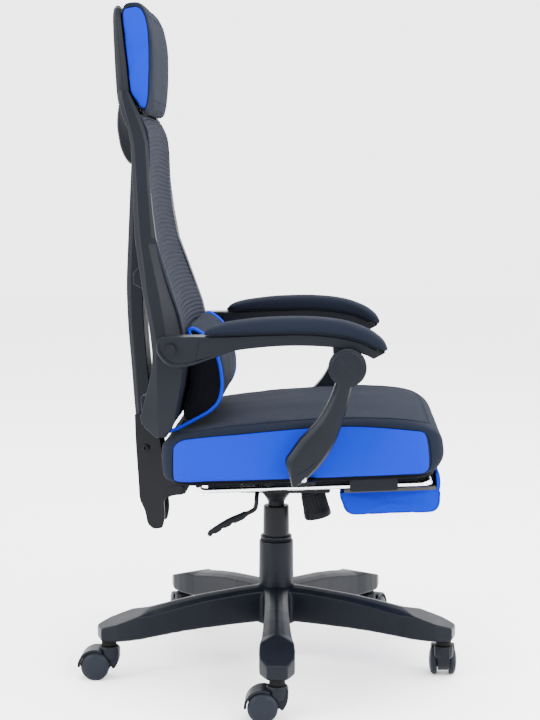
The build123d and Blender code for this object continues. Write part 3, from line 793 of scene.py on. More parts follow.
def make_mesh_panel():
    """Knitted mesh stretched over the rails: real cross ribs that bow up in the middle."""
    levels = np.arange(472.0, 983.0, 1.15)
    across = np.linspace(-1, 1, 57)
    front, half = mesh_front(levels)
    slope = np.gradient(front, levels)
    normal_y, normal_z = -1 / np.sqrt(1 + slope**2), slope / np.sqrt(1 + slope**2)
    rings = []
    for i, z in enumerate(levels):
        bow = 10.0 * (1 - across**2)
        sag = 7.0 * (1 - across**2) * np.clip((z - 520) / 120, 0, 1) * np.clip((975 - z) / 120, 0, 1)
        phase = 2 * math.pi * (z - bow) / RIB_PITCH
        rib = 0.75 * np.sign(np.sin(phase)) * np.abs(np.sin(phase))**0.7 + 0.12 * np.cos(2 * phase)
        edge = np.clip((1 - np.abs(across)) / 0.06, 0, 1)
        lift = rib * edge - 1.2 * (1 - edge) - sag
        rings.append(np.column_stack([half[i] * across, front[i] + normal_y[i] * lift + 1.2,
                                      z + normal_z[i] * lift]))
    panel = place("back_mesh_cloth", (np.vstack(rings), grid_faces(len(levels), len(across))), "backrest",
                  MESH, "mesh_panel")
    thick = panel.modifiers.new("thickness", "SOLIDIFY")
    thick.thickness = 1.4 * MM
    thick.offset = 0
    border = []
    for side in (RIGHT, LEFT):
        line = np.column_stack([side * (half[::8] + 1.0), front[::8] + 1.6, levels[::8]])
        border.append(tube(line, 1.3, 10))
    for z in (473.0, 982.0):
        f, h = mesh_front(z)
        line = np.column_stack([np.linspace(-h, h, 40), np.full(40, f + 1.2), np.full(40, z)])
        border.append(tube(line, 1.3, 10))
    place("back_mesh_binding", join(*border), "backrest", MESH)


# ---------------------------------------------------------------- armrests and posts
FRONT_PIN = (-126.0, 575.0)  # (y, z) of the pin between armrest and post
ARM_SEAM = [(-187, 598), (-176, 599.5), (-160, 607), (-140, 615), (-110, 621.5), (-60, 626), (0, 625),
            (60, 622.5), (112, 621)]


def band(upper, lower, x_low, x_high, count=70):
    """A solid between two (y, z) lines that share their ends' direction, carried along X."""
    top, bottom = curve(upper, count), curve(lower, count)[::-1]
    return prism(np.vstack([top, bottom]), x_low, x_high)


def make_armrest(side, word):
    body = "armrest_" + word
    rear = rounded([(150, 621.5, 2), (177, 620, 6), (182, 614, 6), (181, 600, 8), (173, 586, 8),
                    (162, 577.5, 8), (150, 574.5, 10), (130, 576.5, 20), (97, 587.5, 40), (60, 600, 40),
                    (60, 622.5, 2)], steps=6)
    plate_low, plate_high = 225.0, 265.5
    end_plate = prism(rear, plate_low, plate_high)
    lip_path = curve([(181.5, 612), (180, 599), (172.5, 586.5), (162, 578), (150, 575.2), (130, 577),
                      (97, 588), (60, 600.5), (30, 605)], 60)
    taper = np.interp(np.linspace(0, 1, 60), (0, 0.1, 0.7, 1), (1.2, 3.0, 2.8, 1.0))
    lip = tube(np.column_stack([np.full(60, 265.4), lip_path]), taper, 12)
    rim_top = [(y, z - 0.2) for y, z in ARM_SEAM]
    rim_low = [(-168, 587.5), (-156, 593.5), (-130, 601.5), (-106, 606), (-50, 608.5), (0, 606.5),
               (60, 599), (118, 584)]
    rim = band(rim_top, rim_low, 221.5, 268.6)
    eye_y, eye_z = FRONT_PIN
    angles = np.linspace(math.pi, 2 * math.pi, 22)
    lug = np.vstack([np.column_stack([eye_y + 21.5 * np.cos(angles), eye_z + 21.5 * np.sin(angles)]),
                     [(eye_y + 24, 606), (eye_y - 22, 603)]])
    lug_mesh = prism(lug, 237.0, 266.8)
    mesh = join(end_plate, lip, rim, lug_mesh)
    place("armrest_bracket_" + word, on_side(mesh, side), body, PLASTIC,
          "armrest_shell_" + word, bevel=1.7, segments=4, angle=36)
    bolt = socket_head(side * 265.2, 160, 601, side, 7.2, 4.4)
    place("armrest_bolt_" + word, bolt, "backrest", STEEL_BLACK)
    make_arm_pad(side, word)


def make_arm_pad(side, word):
    """A foam pad that droops at the front, swollen by its stuffing, over the bracket's rim."""
    top = curve([(-190, 603), (-188.5, 609), (-179, 620.5), (-160, 633.5), (-122, 646.5), (-64, 652.6),
                 (0, 651.6), (40, 648), (76, 642.5), (98, 635), (106, 627)], 64)
    seam = curve([(-189, 598.4), (-182, 598.8), (-163, 606.2), (-140, 615.5), (-110, 622), (-60, 626.6),
                  (0, 625.6), (40, 624.8), (76, 623.6), (98, 622.6), (106, 622.4)], 64)
    steps = 36
    rings = []
    for i, share in enumerate(np.linspace(0, 1, 64)):
        end = min(share, 1 - share)
        half = 30.5 * (1 - 0.62 * max(0.0, 1 - end / 0.075)**2.2)
        bottom, crown = seam[i], top[i]
        ring = []
        for a in np.linspace(0, 2 * math.pi, steps, endpoint=False):
            c, s = math.cos(a), math.sin(a)
            w = math.copysign(abs(c)**0.72, c)
            h = 0.5 + 0.5 * math.copysign(abs(s)**(0.62 if s > 0 else 0.35), s)
            p = bottom + (crown - bottom) * h
            ring.append((side * (245 + half * w * (1 - 0.05 * (1 - h))), p[0], p[1]))
        rings.append(ring)
    pad = place("armrest_pad_cover_" + word, skin(rings), "armrest_" + word, CLOTH_ARM,
                "armrest_pad_" + word)
    puff(pad, pressure=2.5, cap=2.2, hold=0.35)
    welt = curve([(-186, 600.5), (-163, 608), (-140, 617.2), (-110, 623.8), (-60, 628.2), (0, 627.4),
                  (60, 625.2), (102, 624)], 70)
    rows = []
    for x in (214.6, 275.4):
        rows.append(tube(np.column_stack([np.full(70, side * x), welt]), 1.1, 8))
    place("armrest_pad_seam_" + word, join(*rows), "armrest_" + word, CLOTH_DARK)


def make_post(side, word):
    """The curved post: crowned outer face, off-centre ridge and a groove round its foot."""
    left = np.vstack([curve([(-109, 560), (-103, 540), (-95, 520), (-78, 490), (-48, 457.5)], 32),
                      straight([(-47.6, 456.7), (-28.6, 429.5), (-26.2, 424.5), (-26, 418.5),
                                (-36.5, 380.5)], 16)])
    right = curve([(-137, 560), (-131, 535), (-125.5, 508), (-118.1, 482.5), (-105.5, 450), (-86.3, 419),
                   (-65.4, 396), (-50, 383), (-43, 379.6)], 48)
    rings = []
    ridge = 0.30
    for share, a, b in zip(np.arange(48) / 47, left, right):
        swell = np.interp(share, (0, 0.3, 0.75, 1), (0.0, 0.0, 0.0, -2.5))
        ring = [(256.3, *(a + (b - a) * 0.04)), (272, *a), (281.5 + swell, *(a + (b - a) * 0.05)),
                (286.4 + swell, *(a + (b - a) * (ridge - 0.10))), (287.6 + swell, *(a + (b - a) * ridge)),
                (286.6 + swell, *(a + (b - a) * (ridge + 0.14))), (285.6 + swell, *(a + (b - a) * 0.72)),
                (282.8 + swell, *(a + (b - a) * 0.92)), (276, *b), (256.3, *(b + (a - b) * 0.05))]
        rings.append(ring)
    rings[-1] = [(x - 1.0 if x > 270 else x, y, z) for x, y, z in rings[-1]]
    blade = skin(rings)
    y, z = FRONT_PIN
    disc_profile = [(0, 269.6), (28.5, 269.6), (30.2, 270.4), (31, 272), (31, 284.8), (30.4, 286.6),
                    (29.0, 287.7), (27.6, 288.0), (27.0, 287.6), (26.4, 287.9), (25.5, 288.7), (20, 289.2),
                    (0, 289.3)]
    disc = along_x(lathe(disc_profile, 96), 0, y, z, 1)
    ring = along_x(lathe([(9, 289.1), (9.3, 289.5), (9.9, 289.5), (10.2, 289.1)], 48), 0, y, z, 1)
    mesh = join(blade, disc, (ring[0], ring[1][:-2]))
    place("arm_post_blade_" + word, on_side(mesh, side), "post_" + word, PLASTIC, "arm_post_" + word,
          bevel=1.4, segments=3, angle=26)
    groove = curve([(-77, 421), (-67, 412), (-56, 404.5), (-46, 400), (-41, 401)], 24)
    line = tube(np.column_stack([np.full(24, 284.6), groove]),
                np.interp(np.linspace(0, 1, 24), (0, .15, .85, 1), (0.3, 1.1, 1.1, 0.3)), 8)
    place("arm_post_moulded_line_" + word, on_side(line, side), "post_" + word, PLASTIC)


# ---------------------------------------------------------------- cloth helpers
def puff(obj, pressure=4.0, cap=6.0, hold=0.0, frames=20):
    """Blows a closed shell up as cloth with pressure inside, keeps each point within cap of where it was."""
    rest = np.array([v.co for v in obj.data.vertices])
    cloth = obj.modifiers.new("stuffing", "CLOTH")
    setting = cloth.settings
    setting.quality = 5
    setting.mass = 0.3
    setting.tension_stiffness = setting.compression_stiffness = 12
    setting.shear_stiffness = 5
    setting.bending_stiffness = 1.5
    setting.use_pressure = True
    setting.uniform_pressure_force = pressure
    setting.effector_weights.gravity = 0
    cloth.collision_settings.use_collision = False
    cloth.collision_settings.use_self_collision = False
    cloth.point_cache.frame_start, cloth.point_cache.frame_end = 1, frames
    for number in range(1, frames + 1):
        scene.frame_set(number)
    shaped = obj.evaluated_get(bpy.context.evaluated_depsgraph_get()).data
    now = np.array([v.co for v in shaped.vertices])
    obj.modifiers.remove(cloth)
    scene.frame_set(1)
    drift = now - rest
    far = np.linalg.norm(drift, axis=1)[:, None]
    drift *= np.minimum(1.0, cap * MM / np.maximum(far, 1e-9)) * (1 - hold)
    obj.data.vertices.foreach_set("co", (rest + drift).astype(np.float32).ravel())
    obj.data.update()
    return obj


def rumple(obj, amount, scale, shift=0.0):
    """Small soft dents, as a hand leaves in stretched cloth."""
    normals = [v.normal.copy() for v in obj.data.vertices]
    for vertex, normal in zip(obj.data.vertices, normals):
        at = vertex.co / (scale * MM) + Vector((shift, shift, shift))
        vertex.co += normal * noise.noise(at) * amount * MM
    obj.data.update()


def subdivided(obj, levels=1):
    sub = obj.modifiers.new("smooth", "SUBSURF")
    sub.levels = sub.render_levels = levels
    return obj


def surface_of(obj):
    """The finished surface of a piece, for laying seams and panels on."""
    bpy.context.view_layer.update()
    shaped = obj.evaluated_get(bpy.context.evaluated_depsgraph_get()).data
    verts = [v.co.copy() for v in shaped.vertices]
    return BVHTree.FromPolygons(verts, [tuple(p.vertices) for p in shaped.polygons])


def lay(tree, points, direction=None, lift=0.0):
    """Points dropped on a surface, along a direction or straight to the nearest place, then lifted off it."""
    out = []
    for p in np.asarray(points, float):
        start = Vector(p) * MM
        hit = None
        if direction is not None:
            hit = tree.ray_cast(start - Vector(direction) * 0.25, Vector(direction), 0.6)
        if hit is None or hit[0] is None:
            hit = tree.find_nearest(start)
        out.append((hit[0] + hit[1].normalized() * lift * MM) / MM)
    return np.array([tuple(p) for p in out])


def panel_grid(edge_a, edge_b, along, across):
    """Rows of points from one edge line to another, closer together near the border."""
    a, b = curve(edge_a, along), curve(edge_b, along)
    share = 0.5 - 0.5 * np.cos(np.linspace(0, math.pi, across))
    return np.array([a + (b - a) * s for s in share])


def sewn_panel(name, tree, grid, direction, body, material, puffed=1.4):
    """A panel of cloth laid on a cushion: it stands a little proud and dives under the seam at its border."""
    rows, cols = grid.shape[:2]
    laid = lay(tree, grid.reshape(-1, 3), direction).reshape(rows, cols, 3)
    out = -np.asarray(direction, float)
    i = np.minimum(np.arange(rows), np.arange(rows)[::-1])
    j = np.minimum(np.arange(cols), np.arange(cols)[::-1])
    depth = np.minimum(i[:, None] / 3.0, j[None, :] / 3.0).clip(0, 1)
    depth = depth * depth * (3 - 2 * depth)
    laid = laid + out * (depth * (puffed + 1.1) - 1.1)[..., None]
    panel = place(name, (laid.reshape(-1, 3), grid_faces(rows, cols)), body, material)
    border = np.vstack([laid[0], laid[1:, -1], laid[-1, -2::-1], laid[-2:0:-1, 0]])
    return panel, border + out * 1.0


def seam(name, line, body, material, radius=1.0, closed=True):
    return place(name, tube(line, radius, 8, closed=closed), body, material)


def stitches(name, tree, line, body, pitch=4.6, length=2.9, closed=True):
    """A row of separate thread stitches along a line on a surface."""
    line = np.asarray(line, float)
    if closed:
        line = np.vstack([line, line[:1]])
    steps = travelled(line)
    parts = []
    for at in np.arange(pitch / 2, steps[-1] - pitch / 2, pitch):
        ends = [np.array([np.interp(at + d, steps, line[:, k]) for k in range(3)])
                for d in (-length / 2, 0, length / 2)]
        hits = [tree.find_nearest(Vector(p) * MM) for p in ends]
        spine = [np.array(h[0]) / MM + np.array(h[1].normalized()) * lift
                 for h, lift in zip(hits, (-0.15, 0.35, -0.15))]
        parts.append(tube(spine, [0.28, 0.42, 0.28], 6))
    return place(name, join(*parts), body, THREAD)


# ---------------------------------------------------------------- seat
SEAT_HALF, SEAT_REAR, SEAT_FRONT = 230.0, 184.0, -293.0
EDGE_LEVEL = [(-293, 430), (-282, 444), (-262, 455), (-236, 461), (-179, 466.5), (-113, 468.5), (-47, 467.5),
              (52, 461.5), (118, 455.5), (158, 448), (184, 438)]
CROWN_LEVEL = [(-293, 436), (-284, 447), (-262, 460.5), (-236, 467), (-205, 471), (-150, 474.5), (-80, 474.5),
               (0, 472), (60, 467.5), (118, 461), (150, 455), (170, 449), (184, 442)]
APRON = 7.5                  # how far the cover wraps down over the edge of the board


def rounded_plan(half, rear, front, corner_front, corner_rear, counts):
    """Four sides of a rounded rectangle, split at the middle of its corners: front, left, rear, right."""
    def arc(cx, cy, r, start, stop):
        a = np.radians(np.linspace(start, stop, 14))
        return np.column_stack([cx + r * np.cos(a), cy + r * np.sin(a)])

    f, b = corner_front, corner_rear
    sides = [np.vstack([arc(-half + f, front + f, f, 225, 270), arc(half - f, front + f, f, 270, 315)]),
             np.vstack([arc(half - f, front + f, f, 315, 360), arc(half - b, rear - b, b, 0, 45)]),
             np.vstack([arc(half - b, rear - b, b, 45, 90), arc(-half + b, rear - b, b, 90, 135)]),
             np.vstack([arc(-half + b, rear - b, b, 135, 180), arc(-half + f, front + f, f, 180, 225)])]
    return [straight(side, count + 1) for side, count in zip(sides, counts)]


def coons(sides):
    """A grid of plan points that meets four sides."""
    front, left, rear, right = sides
    n, m = len(front) - 1, len(left) - 1
    u, v = np.meshgrid(np.linspace(0, 1, n + 1), np.linspace(0, 1, m + 1))
    bottom, top = front, rear[::-1]
    west, east = right[::-1], left
    u, v = u[..., None], v[..., None]
    blend_v = (1 - v) * bottom[None, :, :] + v * top[None, :, :]
    blend_u = (1 - u) * west[:, None, :] + u * east[:, None, :]
    corner = ((1 - u) * (1 - v) * bottom[0] + u * (1 - v) * bottom[-1]
              + (1 - u) * v * top[0] + u * v * top[-1])
    return blend_v + blend_u - corner


def seat_mesh():
    """Crowned top, side band and floor of the seat cushion as one closed skin, and its seam loop."""
    n, m = 60, 64
    plan = rounded_plan(SEAT_HALF - 2, SEAT_REAR, SEAT_FRONT + 4, 46, 52, (n, m, n, m))
    top = coons(plan)
    loop_ids = ([(0, i) for i in range(n)] + [(j, n) for j in range(m)]
                + [(m, n - i) for i in range(n)] + [(m - j, 0) for j in range(m)])
    border = np.array([top[j, i] for j, i in loop_ids])
    flat = top.reshape(-1, 2)
    away = np.min(np.linalg.norm(flat[:, None, :] - border[None, :, :], axis=2), axis=1)
    edge = np.array([between(EDGE_LEVEL, y)[0] for y in flat[:, 1]])
    crown = np.array([between(CROWN_LEVEL, y)[0] for y in flat[:, 1]])
    rise = np.clip(away / 34.0, 0, 1)
    height = edge + (crown - edge) * np.sqrt(1 - (1 - rise)**2)
    height += 2.0 * np.cos(flat[:, 0] / 230 * math.pi / 2)**2
    verts = [np.column_stack([flat, height])]
    quads = grid_faces(m + 1, n + 1)
    faces = list(quads)
    seam_ids = [j * (n + 1) + i for j, i in loop_ids]
    ring = seam_ids
    count = len(flat)
    tangent = np.roll(border, -1, 0) - np.roll(border, 1, 0)
    tangent /= np.linalg.norm(tangent, axis=1)[:, None]
    outward = np.column_stack([tangent[:, 1], -tangent[:, 0]])
    high = np.array([between(EDGE_LEVEL, y)[0] for y in border[:, 1]])
    rows = [(0.06, 1.6), (0.14, 3.2), (0.25, 4.6), (0.38, 5.4), (0.52, 5.6), (0.66, 5.2), (0.78, 4.2),
            (0.88, 2.4), (0.95, -0.8), (0.985, -4.5)]
    front_pull = np.clip((-border[:, 1] - 250) / 45, 0, 1)
    for share, bulge in rows:
        level = high + (SEAT_LEVEL - APRON - high) * share
        bottom_tuck = -14.0 * front_pull * max(0.0, share - 0.6) / 0.4
        spot = border + outward * (bulge * 0.55 + bottom_tuck)[:, None]
        verts.append(np.column_stack([spot, level]))
        new = list(range(count, count + len(ring)))
        faces += [(ring[k], new[k], new[(k + 1) % len(new)], ring[(k + 1) % len(new)])
                  for k in range(len(new))]
        ring = new
        count += len(new)
    last = verts[-1][:, :2]
    last = last + (last.mean(0) - last) * 0.035
    floor_sides = [last[0:n + 1], last[n:n + m + 1], last[n + m:2 * n + m + 1],
                   np.vstack([last[2 * n + m:], last[:1]])]
    floor = coons(floor_sides).reshape(-1, 2)
    verts.append(np.column_stack([floor, np.full(len(floor), SEAT_LEVEL - APRON)]))
    floor_ring = [count + i for i in seam_ids]
    faces += [(ring[k], floor_ring[k], floor_ring[(k + 1) % len(ring)], ring[(k + 1) % len(ring)])
              for k in range(len(ring))]
    faces += [(count + a, count + d, count + c, count + b) for a, b, c, d in quads]
    return (on_seat(np.vstack(verts)), faces), seam_ids


def make_seat():
    mesh, seam_ids = seat_mesh()
    cushion = place("seat_cushion_cover", mesh, "seat", CLOTH, "seat_cushion")
    puff(cushion, pressure=3.0, cap=4.0, hold=0.3)
    rumple(cushion, 1.3, 75.0)
    subdivided(cushion)
    tree = surface_of(cushion)
    line = np.array([tuple(cushion.data.vertices[i].co / MM) for i in seam_ids])
    centre = line.mean(0)
    inset = [lay(tree, centre + (line - centre) * (k, k + 0.012, 1) + (0, 0, 12), (0, 0, -1))
             for k in (0.905, 0.885)]
    seam("seat_edge_welt", inset[0] + (0, 0, 0.2), "seat", CLOTH, 0.9)
    stitches("seat_edge_stitches", tree, inset[1], "seat", 5.2, 3.3)
    for side, word in SIDES:
        make_seat_panel(side, word, tree)


def make_seat_panel(side, word, tree):
    """The blue side panel: straight rear and front ends with rounded upper corners."""
    top = [(163, 425), (160.5, 434), (154, 441.5), (143, 446.5), (107, 451.5), (50, 457), (-49, 467),
           (-118, 471.5), (-180, 470), (-236, 465.5), (-250, 463), (-257, 456)]
    low = [(165, 382), (160, 375.6), (150, 374), (109, 375.6), (51, 378), (-30, 381), (-115, 385.4),
           (-179, 388.8), (-236, 392), (-252, 393.4), (-262, 400)]
    grid = panel_grid([(side * 232, y, z) for y, z in top], [(side * 232, y, z) for y, z in low], 110, 26)
    span = np.linspace(0, 1, 26)[:, None]
    lean = np.clip((-grid[..., 1] - 200) / 60, 0, 1) * np.sin(span * math.pi) * 5
    grid[..., 1] -= lean
    panel, border = sewn_panel("seat_side_panel_" + word, tree, grid, (-side, 0, 0), "seat", BLUE)
    rumple(panel, 0.5, 60.0, 3.0)
    seam("seat_side_seam_" + word, border, "seat", CLOTH_DARK, 0.9)


# ---------------------------------------------------------------- loaf-shaped cushions
DOME_SCALES = (0.97, 0.9, 0.78, 0.62, 0.44, 0.26, 0.1)


def loaf(profile, half, points=112, stations=44, crown=(0.0, 0.0), end_dome=4.0, end_pull=0.03):
    """A cushion as a closed (y, z) profile carried along X, fuller in the middle, with domed ends."""
    outline = curve(profile, points, closed=True)
    middle = outline.mean(0)
    rings = []
    for s in np.linspace(-1, 1, stations):
        full = 1 - abs(s)**2.6
        scale = 1 - end_pull * abs(s)**6 + np.array(crown) * full
        rings.append(np.column_stack([np.full(points, s * half), middle + (outline - middle) * scale]))
    ends = []
    for end in (rings[0], rings[-1]):
        sign = np.sign(end[0, 0])
        ends.append([np.column_stack([np.full(points, sign * (half + end_dome * math.sqrt(1 - scale**2))),
                                      middle + (end[:, 1:] - middle) * scale]) for scale in DOME_SCALES])
    rings = ends[0][::-1] + rings + ends[1]
    first = len(DOME_SCALES)
    return skin(rings), first, len(rings) - first - 1, points


def ring_line(obj, ring, points):
    return np.array([tuple(obj.data.vertices[ring * points + i].co / MM) for i in range(points)])


HEADREST = [(220, 986), (228, 1001), (238, 1015), (241.5, 1032), (246.5, 1075), (250.5, 1120), (254, 1156),
            (249, 1168), (238, 1171), (226, 1170), (215.5, 1159), (209, 1134), (206, 1105), (205.5, 1070),
            (206.5, 1032), (209, 1004), (213, 989)]


def make_headrest():
    mesh = loaf(HEADREST, 129, crown=(0.02, 0.03), end_dome=3.0)[0]
    cushion = place("headrest_cover", mesh, "backrest", CLOTH, "headrest_cushion")
    puff(cushion, pressure=3.0, cap=3.5, hold=0.3)
    rumple(cushion, 0.8, 60.0, 9.0)
    subdivided(cushion)
    tree = surface_of(cushion)
    rear = [(221, 993), (229, 1006), (238, 1018), (241, 1036), (243.5, 1059), (246.5, 1083), (249.5, 1110),
            (251, 1140), (250, 1154), (243, 1160)]
    front = [(216, 992), (212.5, 1003), (210.2, 1018), (209, 1042), (208.3, 1075), (208.6, 1106),
             (210.5, 1130), (215, 1148), (222, 1158), (233, 1161.5)]
    for side, word in SIDES:
        grid = panel_grid([(side * 134, y, z) for y, z in rear], [(side * 134, y, z) for y, z in front], 76,
                          20)
        border = sewn_panel("headrest_side_panel_" + word, tree, grid, (-side, 0, 0), "backrest", BLUE,
                            1.8)[1]
        seam("headrest_side_seam_" + word, border, "backrest", CLOTH_DARK, 0.8)
    for height in (1009.0, 1148.0):
        across = np.column_stack([np.linspace(-124, 124, 60), np.full(60, 150.0), np.full(60, height)])
        stitches("headrest_stitches_%d" % int(height), tree, lay(tree, across, (0, 1, 0)), "backrest",
                 closed=False)


PILLOW = [(143, 629.5), (133, 627.5), (120, 620), (107, 606), (95, 585), (88, 563), (85, 545), (85, 525),
          (88.5, 508), (95.5, 494), (106, 484), (118, 476), (132, 469), (145, 465), (153, 471), (152.5, 484),
          (141.5, 522), (136.5, 558), (136, 598)]


def make_pillow():
    mesh, first, last, points = loaf(PILLOW, 152, stations=52, crown=(0.04, 0.02), end_dome=4.5)
    pillow = place("lumbar_pillow_cover", mesh, "backrest", CLOTH, "lumbar_pillow")
    pillow.data.materials.append(CLOTH_DARK)
    for polygon in pillow.data.polygons:
        ring = polygon.vertices[0] // points
        polygon.material_index = 1 if ring < first or ring >= last else 0
    puff(pillow, pressure=4.0, cap=5.0, hold=0.35)
    rumple(pillow, 1.2, 55.0, 5.0)
    subdivided(pillow)
    for ring, word, shift in ((first, "right", -1), (last, "left", 1)):
        line = ring_line(pillow, ring, points)
        centre = line.mean(0)
        grown = centre + (line - centre) * (1, 1.012, 1.012) + (shift * 0.5, 0, 0)
        keep = (grown[:, 1] < 128) | (grown[:, 2] > 612)
        start = int(np.argmax(~keep))
        route = np.roll(grown, -start, 0)[np.roll(keep, -start)]
        if route[0, 2] < route[-1, 2]:
            route = route[::-1]
        x = route[-1, 0]
        tuck = [(x, y, z) for y, z in ((146, 462), (158, 455.5), (172, 450), (186, 446.5), (197, 448),
                                       (203, 456))]
        route = curve(np.vstack([route[::3], tuck]), 220)
        seam("lumbar_piping_" + word, route, "backrest", PIPING, 3.2, closed=False)
    tree = surface_of(pillow)
    for shift, word in ((first + 1, "right"), (last - 1, "left")):
        stitches("lumbar_stitches_" + word, tree, ring_line(pillow, shift, points), "backrest",
                 5.0, 3.0)


FOOT_PAD = [(-284.5, 333), (-285, 322), (-283, 308), (-276, 299.5), (-264, 297.2), (-205, 297.0),
            (-142, 297.2), (-128, 299.2), (-120, 306), (-116, 318), (-112.5, 333), (-130, 334), (-200, 334),
            (-268, 334)]


def make_foot_pad():
    mesh, first, last, points = loaf(FOOT_PAD, 127, stations=40, crown=(0.0, 0.02), end_dome=3.5,
                                     end_pull=0.02)
    pad = place("footrest_pad_cover", tilted(mesh), "footrest_pad", BLUE, "footrest_cushion")
    puff(pad, pressure=2.5, cap=2.0, hold=0.4)
    rumple(pad, 0.7, 50.0, 2.0)
    subdivided(pad)
    tree = surface_of(pad)
    top = [(-118, -113, 334), (118, -113, 334)]
    low = [(-118, -130, 303), (118, -130, 303)]
    grid = panel_grid(top, low, 60, 12)
    grid = on_seat(grid.reshape(-1, 3)).reshape(grid.shape)
    sewn_panel("footrest_rear_panel", tree, grid, (0, -1, 0), "footrest_pad", CLOTH_DARK, 0.8)
    for ring, word in ((first, "right"), (last, "left")):
        seam("footrest_side_welt_" + word, ring_line(pad, ring, points), "footrest_pad", BLUE, 1.6)
    sleeve_line = rounded([(-286, 330, 4), (-283, 348, 6), (-276, 361, 5), (-262, 361, 5), (-256, 348, 5),
                           (-259, 341, 2), (-262.5, 343, 2), (-261.5, 349, 4), (-266, 356.5, 3),
                           (-271, 356.5, 3), (-274.5, 349, 4), (-277, 334, 3), (-277, 330, 1)], steps=5)
    flap = rounded([(-283, 328, 2), (-286.6, 345, 8), (-285, 362, 3), (-281, 365, 2), (-278.4, 362, 2),
                    (-279.6, 345, 6), (-277.5, 328, 2)], steps=4)
    sleeves = [tilted(prism(sleeve_line, -67, 67)), tilted(prism(flap, -127, 127))]
    place("footrest_tube_sleeve", join(*sleeves), "footrest_pad", BLUE, bevel=0.8, angle=50)


# ---------------------------------------------------------------- footrest rails and runners
def make_rails_under_seat():
    x, y, z = 150.0, -268.0, 351.0
    half = [(x, 127, z + 7), (x, 125.5, z + 3), (x, 121, z + 0.6), (x, 114, z), (x, 60, z), (x, -20, z),
            (x, -100, z), (x, -180, z), (x, -240, z)]
    bend = [(x - 15 + 15 * math.cos(a), y + 15 - 15 * math.sin(a), z)
            for a in np.linspace(0, math.pi / 2, 14)]
    right = [(-px, py, pz) for px, py, pz in half + bend]
    left = (half + bend)[::-1]
    path = np.array([(px, py, pz) for px, py, pz in right] + [(0, y, z)] + left, float)
    place("footrest_chrome_rail", tilted(tube(path, 4.5, 24)), "footrest_slide", CHROME, "footrest_frame",
          bevel=0.5, angle=50)
    caps = []
    for sx in (-x, x):
        plug = moved(lathe([(0, 0), (4.2, 0), (5.4, 0.6), (5.5, 3.2), (4.9, 4.2), (0, 4.4)], 28),
                     (sx, 127, z + 6.5), Matrix.Rotation(math.radians(-12), 3, "X"))
        caps.append(tilted(plug))
    place("footrest_rail_caps", join(*caps), "footrest_slide", PLASTIC)
    runners = []
    for side in (-1, 1):
        outline = rounded([(-212, 343, 4), (-130, 343, 4), (-130, 362, 3), (-139, 364, 3), (-139, 372, 1),
                           (-160, 372, 1), (-161, 365, 2), (-182, 365, 2), (-183, 372, 1), (-208, 372, 1),
                           (-208, 364, 3), (-212, 362, 3)], steps=4)
        low, high = sorted((side * (x - 12.5), side * (x + 12.5)))
        body = prism(outline, low, high)
        skirt = prism(rounded([(-242, 351.5), (0, 351.5), (6, 364), (52, 364), (58, 351.5), (114, 351.5),
                               (114, 371), (-242, 371)], 1.5, 3),
                      *sorted((side * (x - 20), side * (x - 16))))
        flange = prism(rounded([(-209, 369.4), (-133, 369.4), (-133, 372), (-209, 372)], 0.8, 3), low - 6,
                       high + 6)
        runners += [tilted(mesh) for mesh in (skirt, body, flange)]
    place("footrest_runner_blocks", join(*runners), "seat", PLASTIC, "slide_blocks", bevel=1.0, angle=40)


def make_under_seat():
    """The underside of the seat: the board, its dust cover and the rim of cloth turned in under it."""
    cad_finish("seat_board", BOARD, 2.0)
    plan = rounded_plan(206, 168, -264, 44, 50, (40, 40, 40, 40))
    grid = coons(plan).reshape(-1, 2)
    lining = np.column_stack([grid, np.full(len(grid), SEAT_LEVEL - 14.5)])
    sheet = place("seat_dust_cover", (on_seat(lining), grid_faces(41, 41)), "seat", CLOTH_DARK)
    thick = sheet.modifiers.new("thickness", "SOLIDIFY")
    thick.thickness = 0.5 * MM
    thick.offset = 0
    edge = np.vstack([side[:-1] for side in plan])
    rim = [on_seat(np.column_stack([edge * k, np.full(len(edge), SEAT_LEVEL - h)]))
           for k, h in ((1.00, 14.4), (1.02, 14.2), (1.03, 12.5), (1.035, 9.0), (1.035, 1.6), (1.0, 1.5))]
    place("seat_under_pan", skin(rim, cap=False), "seat", CLOTH_DARK)


def make_post_feet():
    """The angle irons that carry the posts under the seat, with the pins inside the posts' feet."""
    irons, pins = [], []
    lug = rounded([(-64, 375, 3), (-36, 375, 3), (-37, 396, 8), (-47, 402, 8), (-60, 400, 8)], steps=5)
    tray = rounded([(-74, 373.4), (-34, 373.4), (-34, 379.4), (-74, 379.4)], 1.5, 4)
    for side in (-1, 1):
        low, high = sorted((side * 238, side * 251))
        irons.append(prism(lug, low, high))
        low, high = sorted((side * 168, side * 246))
        irons.append(tilted(prism(tray, low, high)))
        pins.append(along_x(lathe([(0, 0), (4.4, 0), (5, 0.8), (5, 42), (4.4, 42.8), (0, 42.8)], 24),
                            side * 239, -56, 392, side))
    place("post_foot_irons", join(*irons), "seat", STEEL_BLACK, "arm_foot_brackets", bevel=0.7, angle=50)
    place("post_foot_pins", join(*pins), "seat", STEEL, "foot_bolts")


# ---------------------------------------------------------------- what stays from the CAD model
def finish_cad_nodes():
    for node in ("seat_plate", "recline_bracket", "footrest_clips"):
        cad_finish(node, STEEL_BLACK, 0.7)
    for node in ("tilt_shaft", "gas_rod", "tension_spring"):
        cad_finish(node, STEEL, 0.4)
    for node in ("recline_shaft", "arm_front_pin_right", "arm_front_pin_left"):
        cad_finish(node, STEEL_BLACK, 0.4)
    cad_finish("gas_cylinder", STEEL_BLACK, 0.5)
    cad_finish("lever_bush", PLASTIC, 0.5)
    cad_finish("footrest_board", BOARD, 0.8)
    cad_finish("arm_bolts", STEEL_BLACK, 0.6)


# ---------------------------------------------------------------- studio
FLOOR_HALF = 9.0             # metres, as are the lamps' and the camera's places
SKY_STRENGTH = 4.0
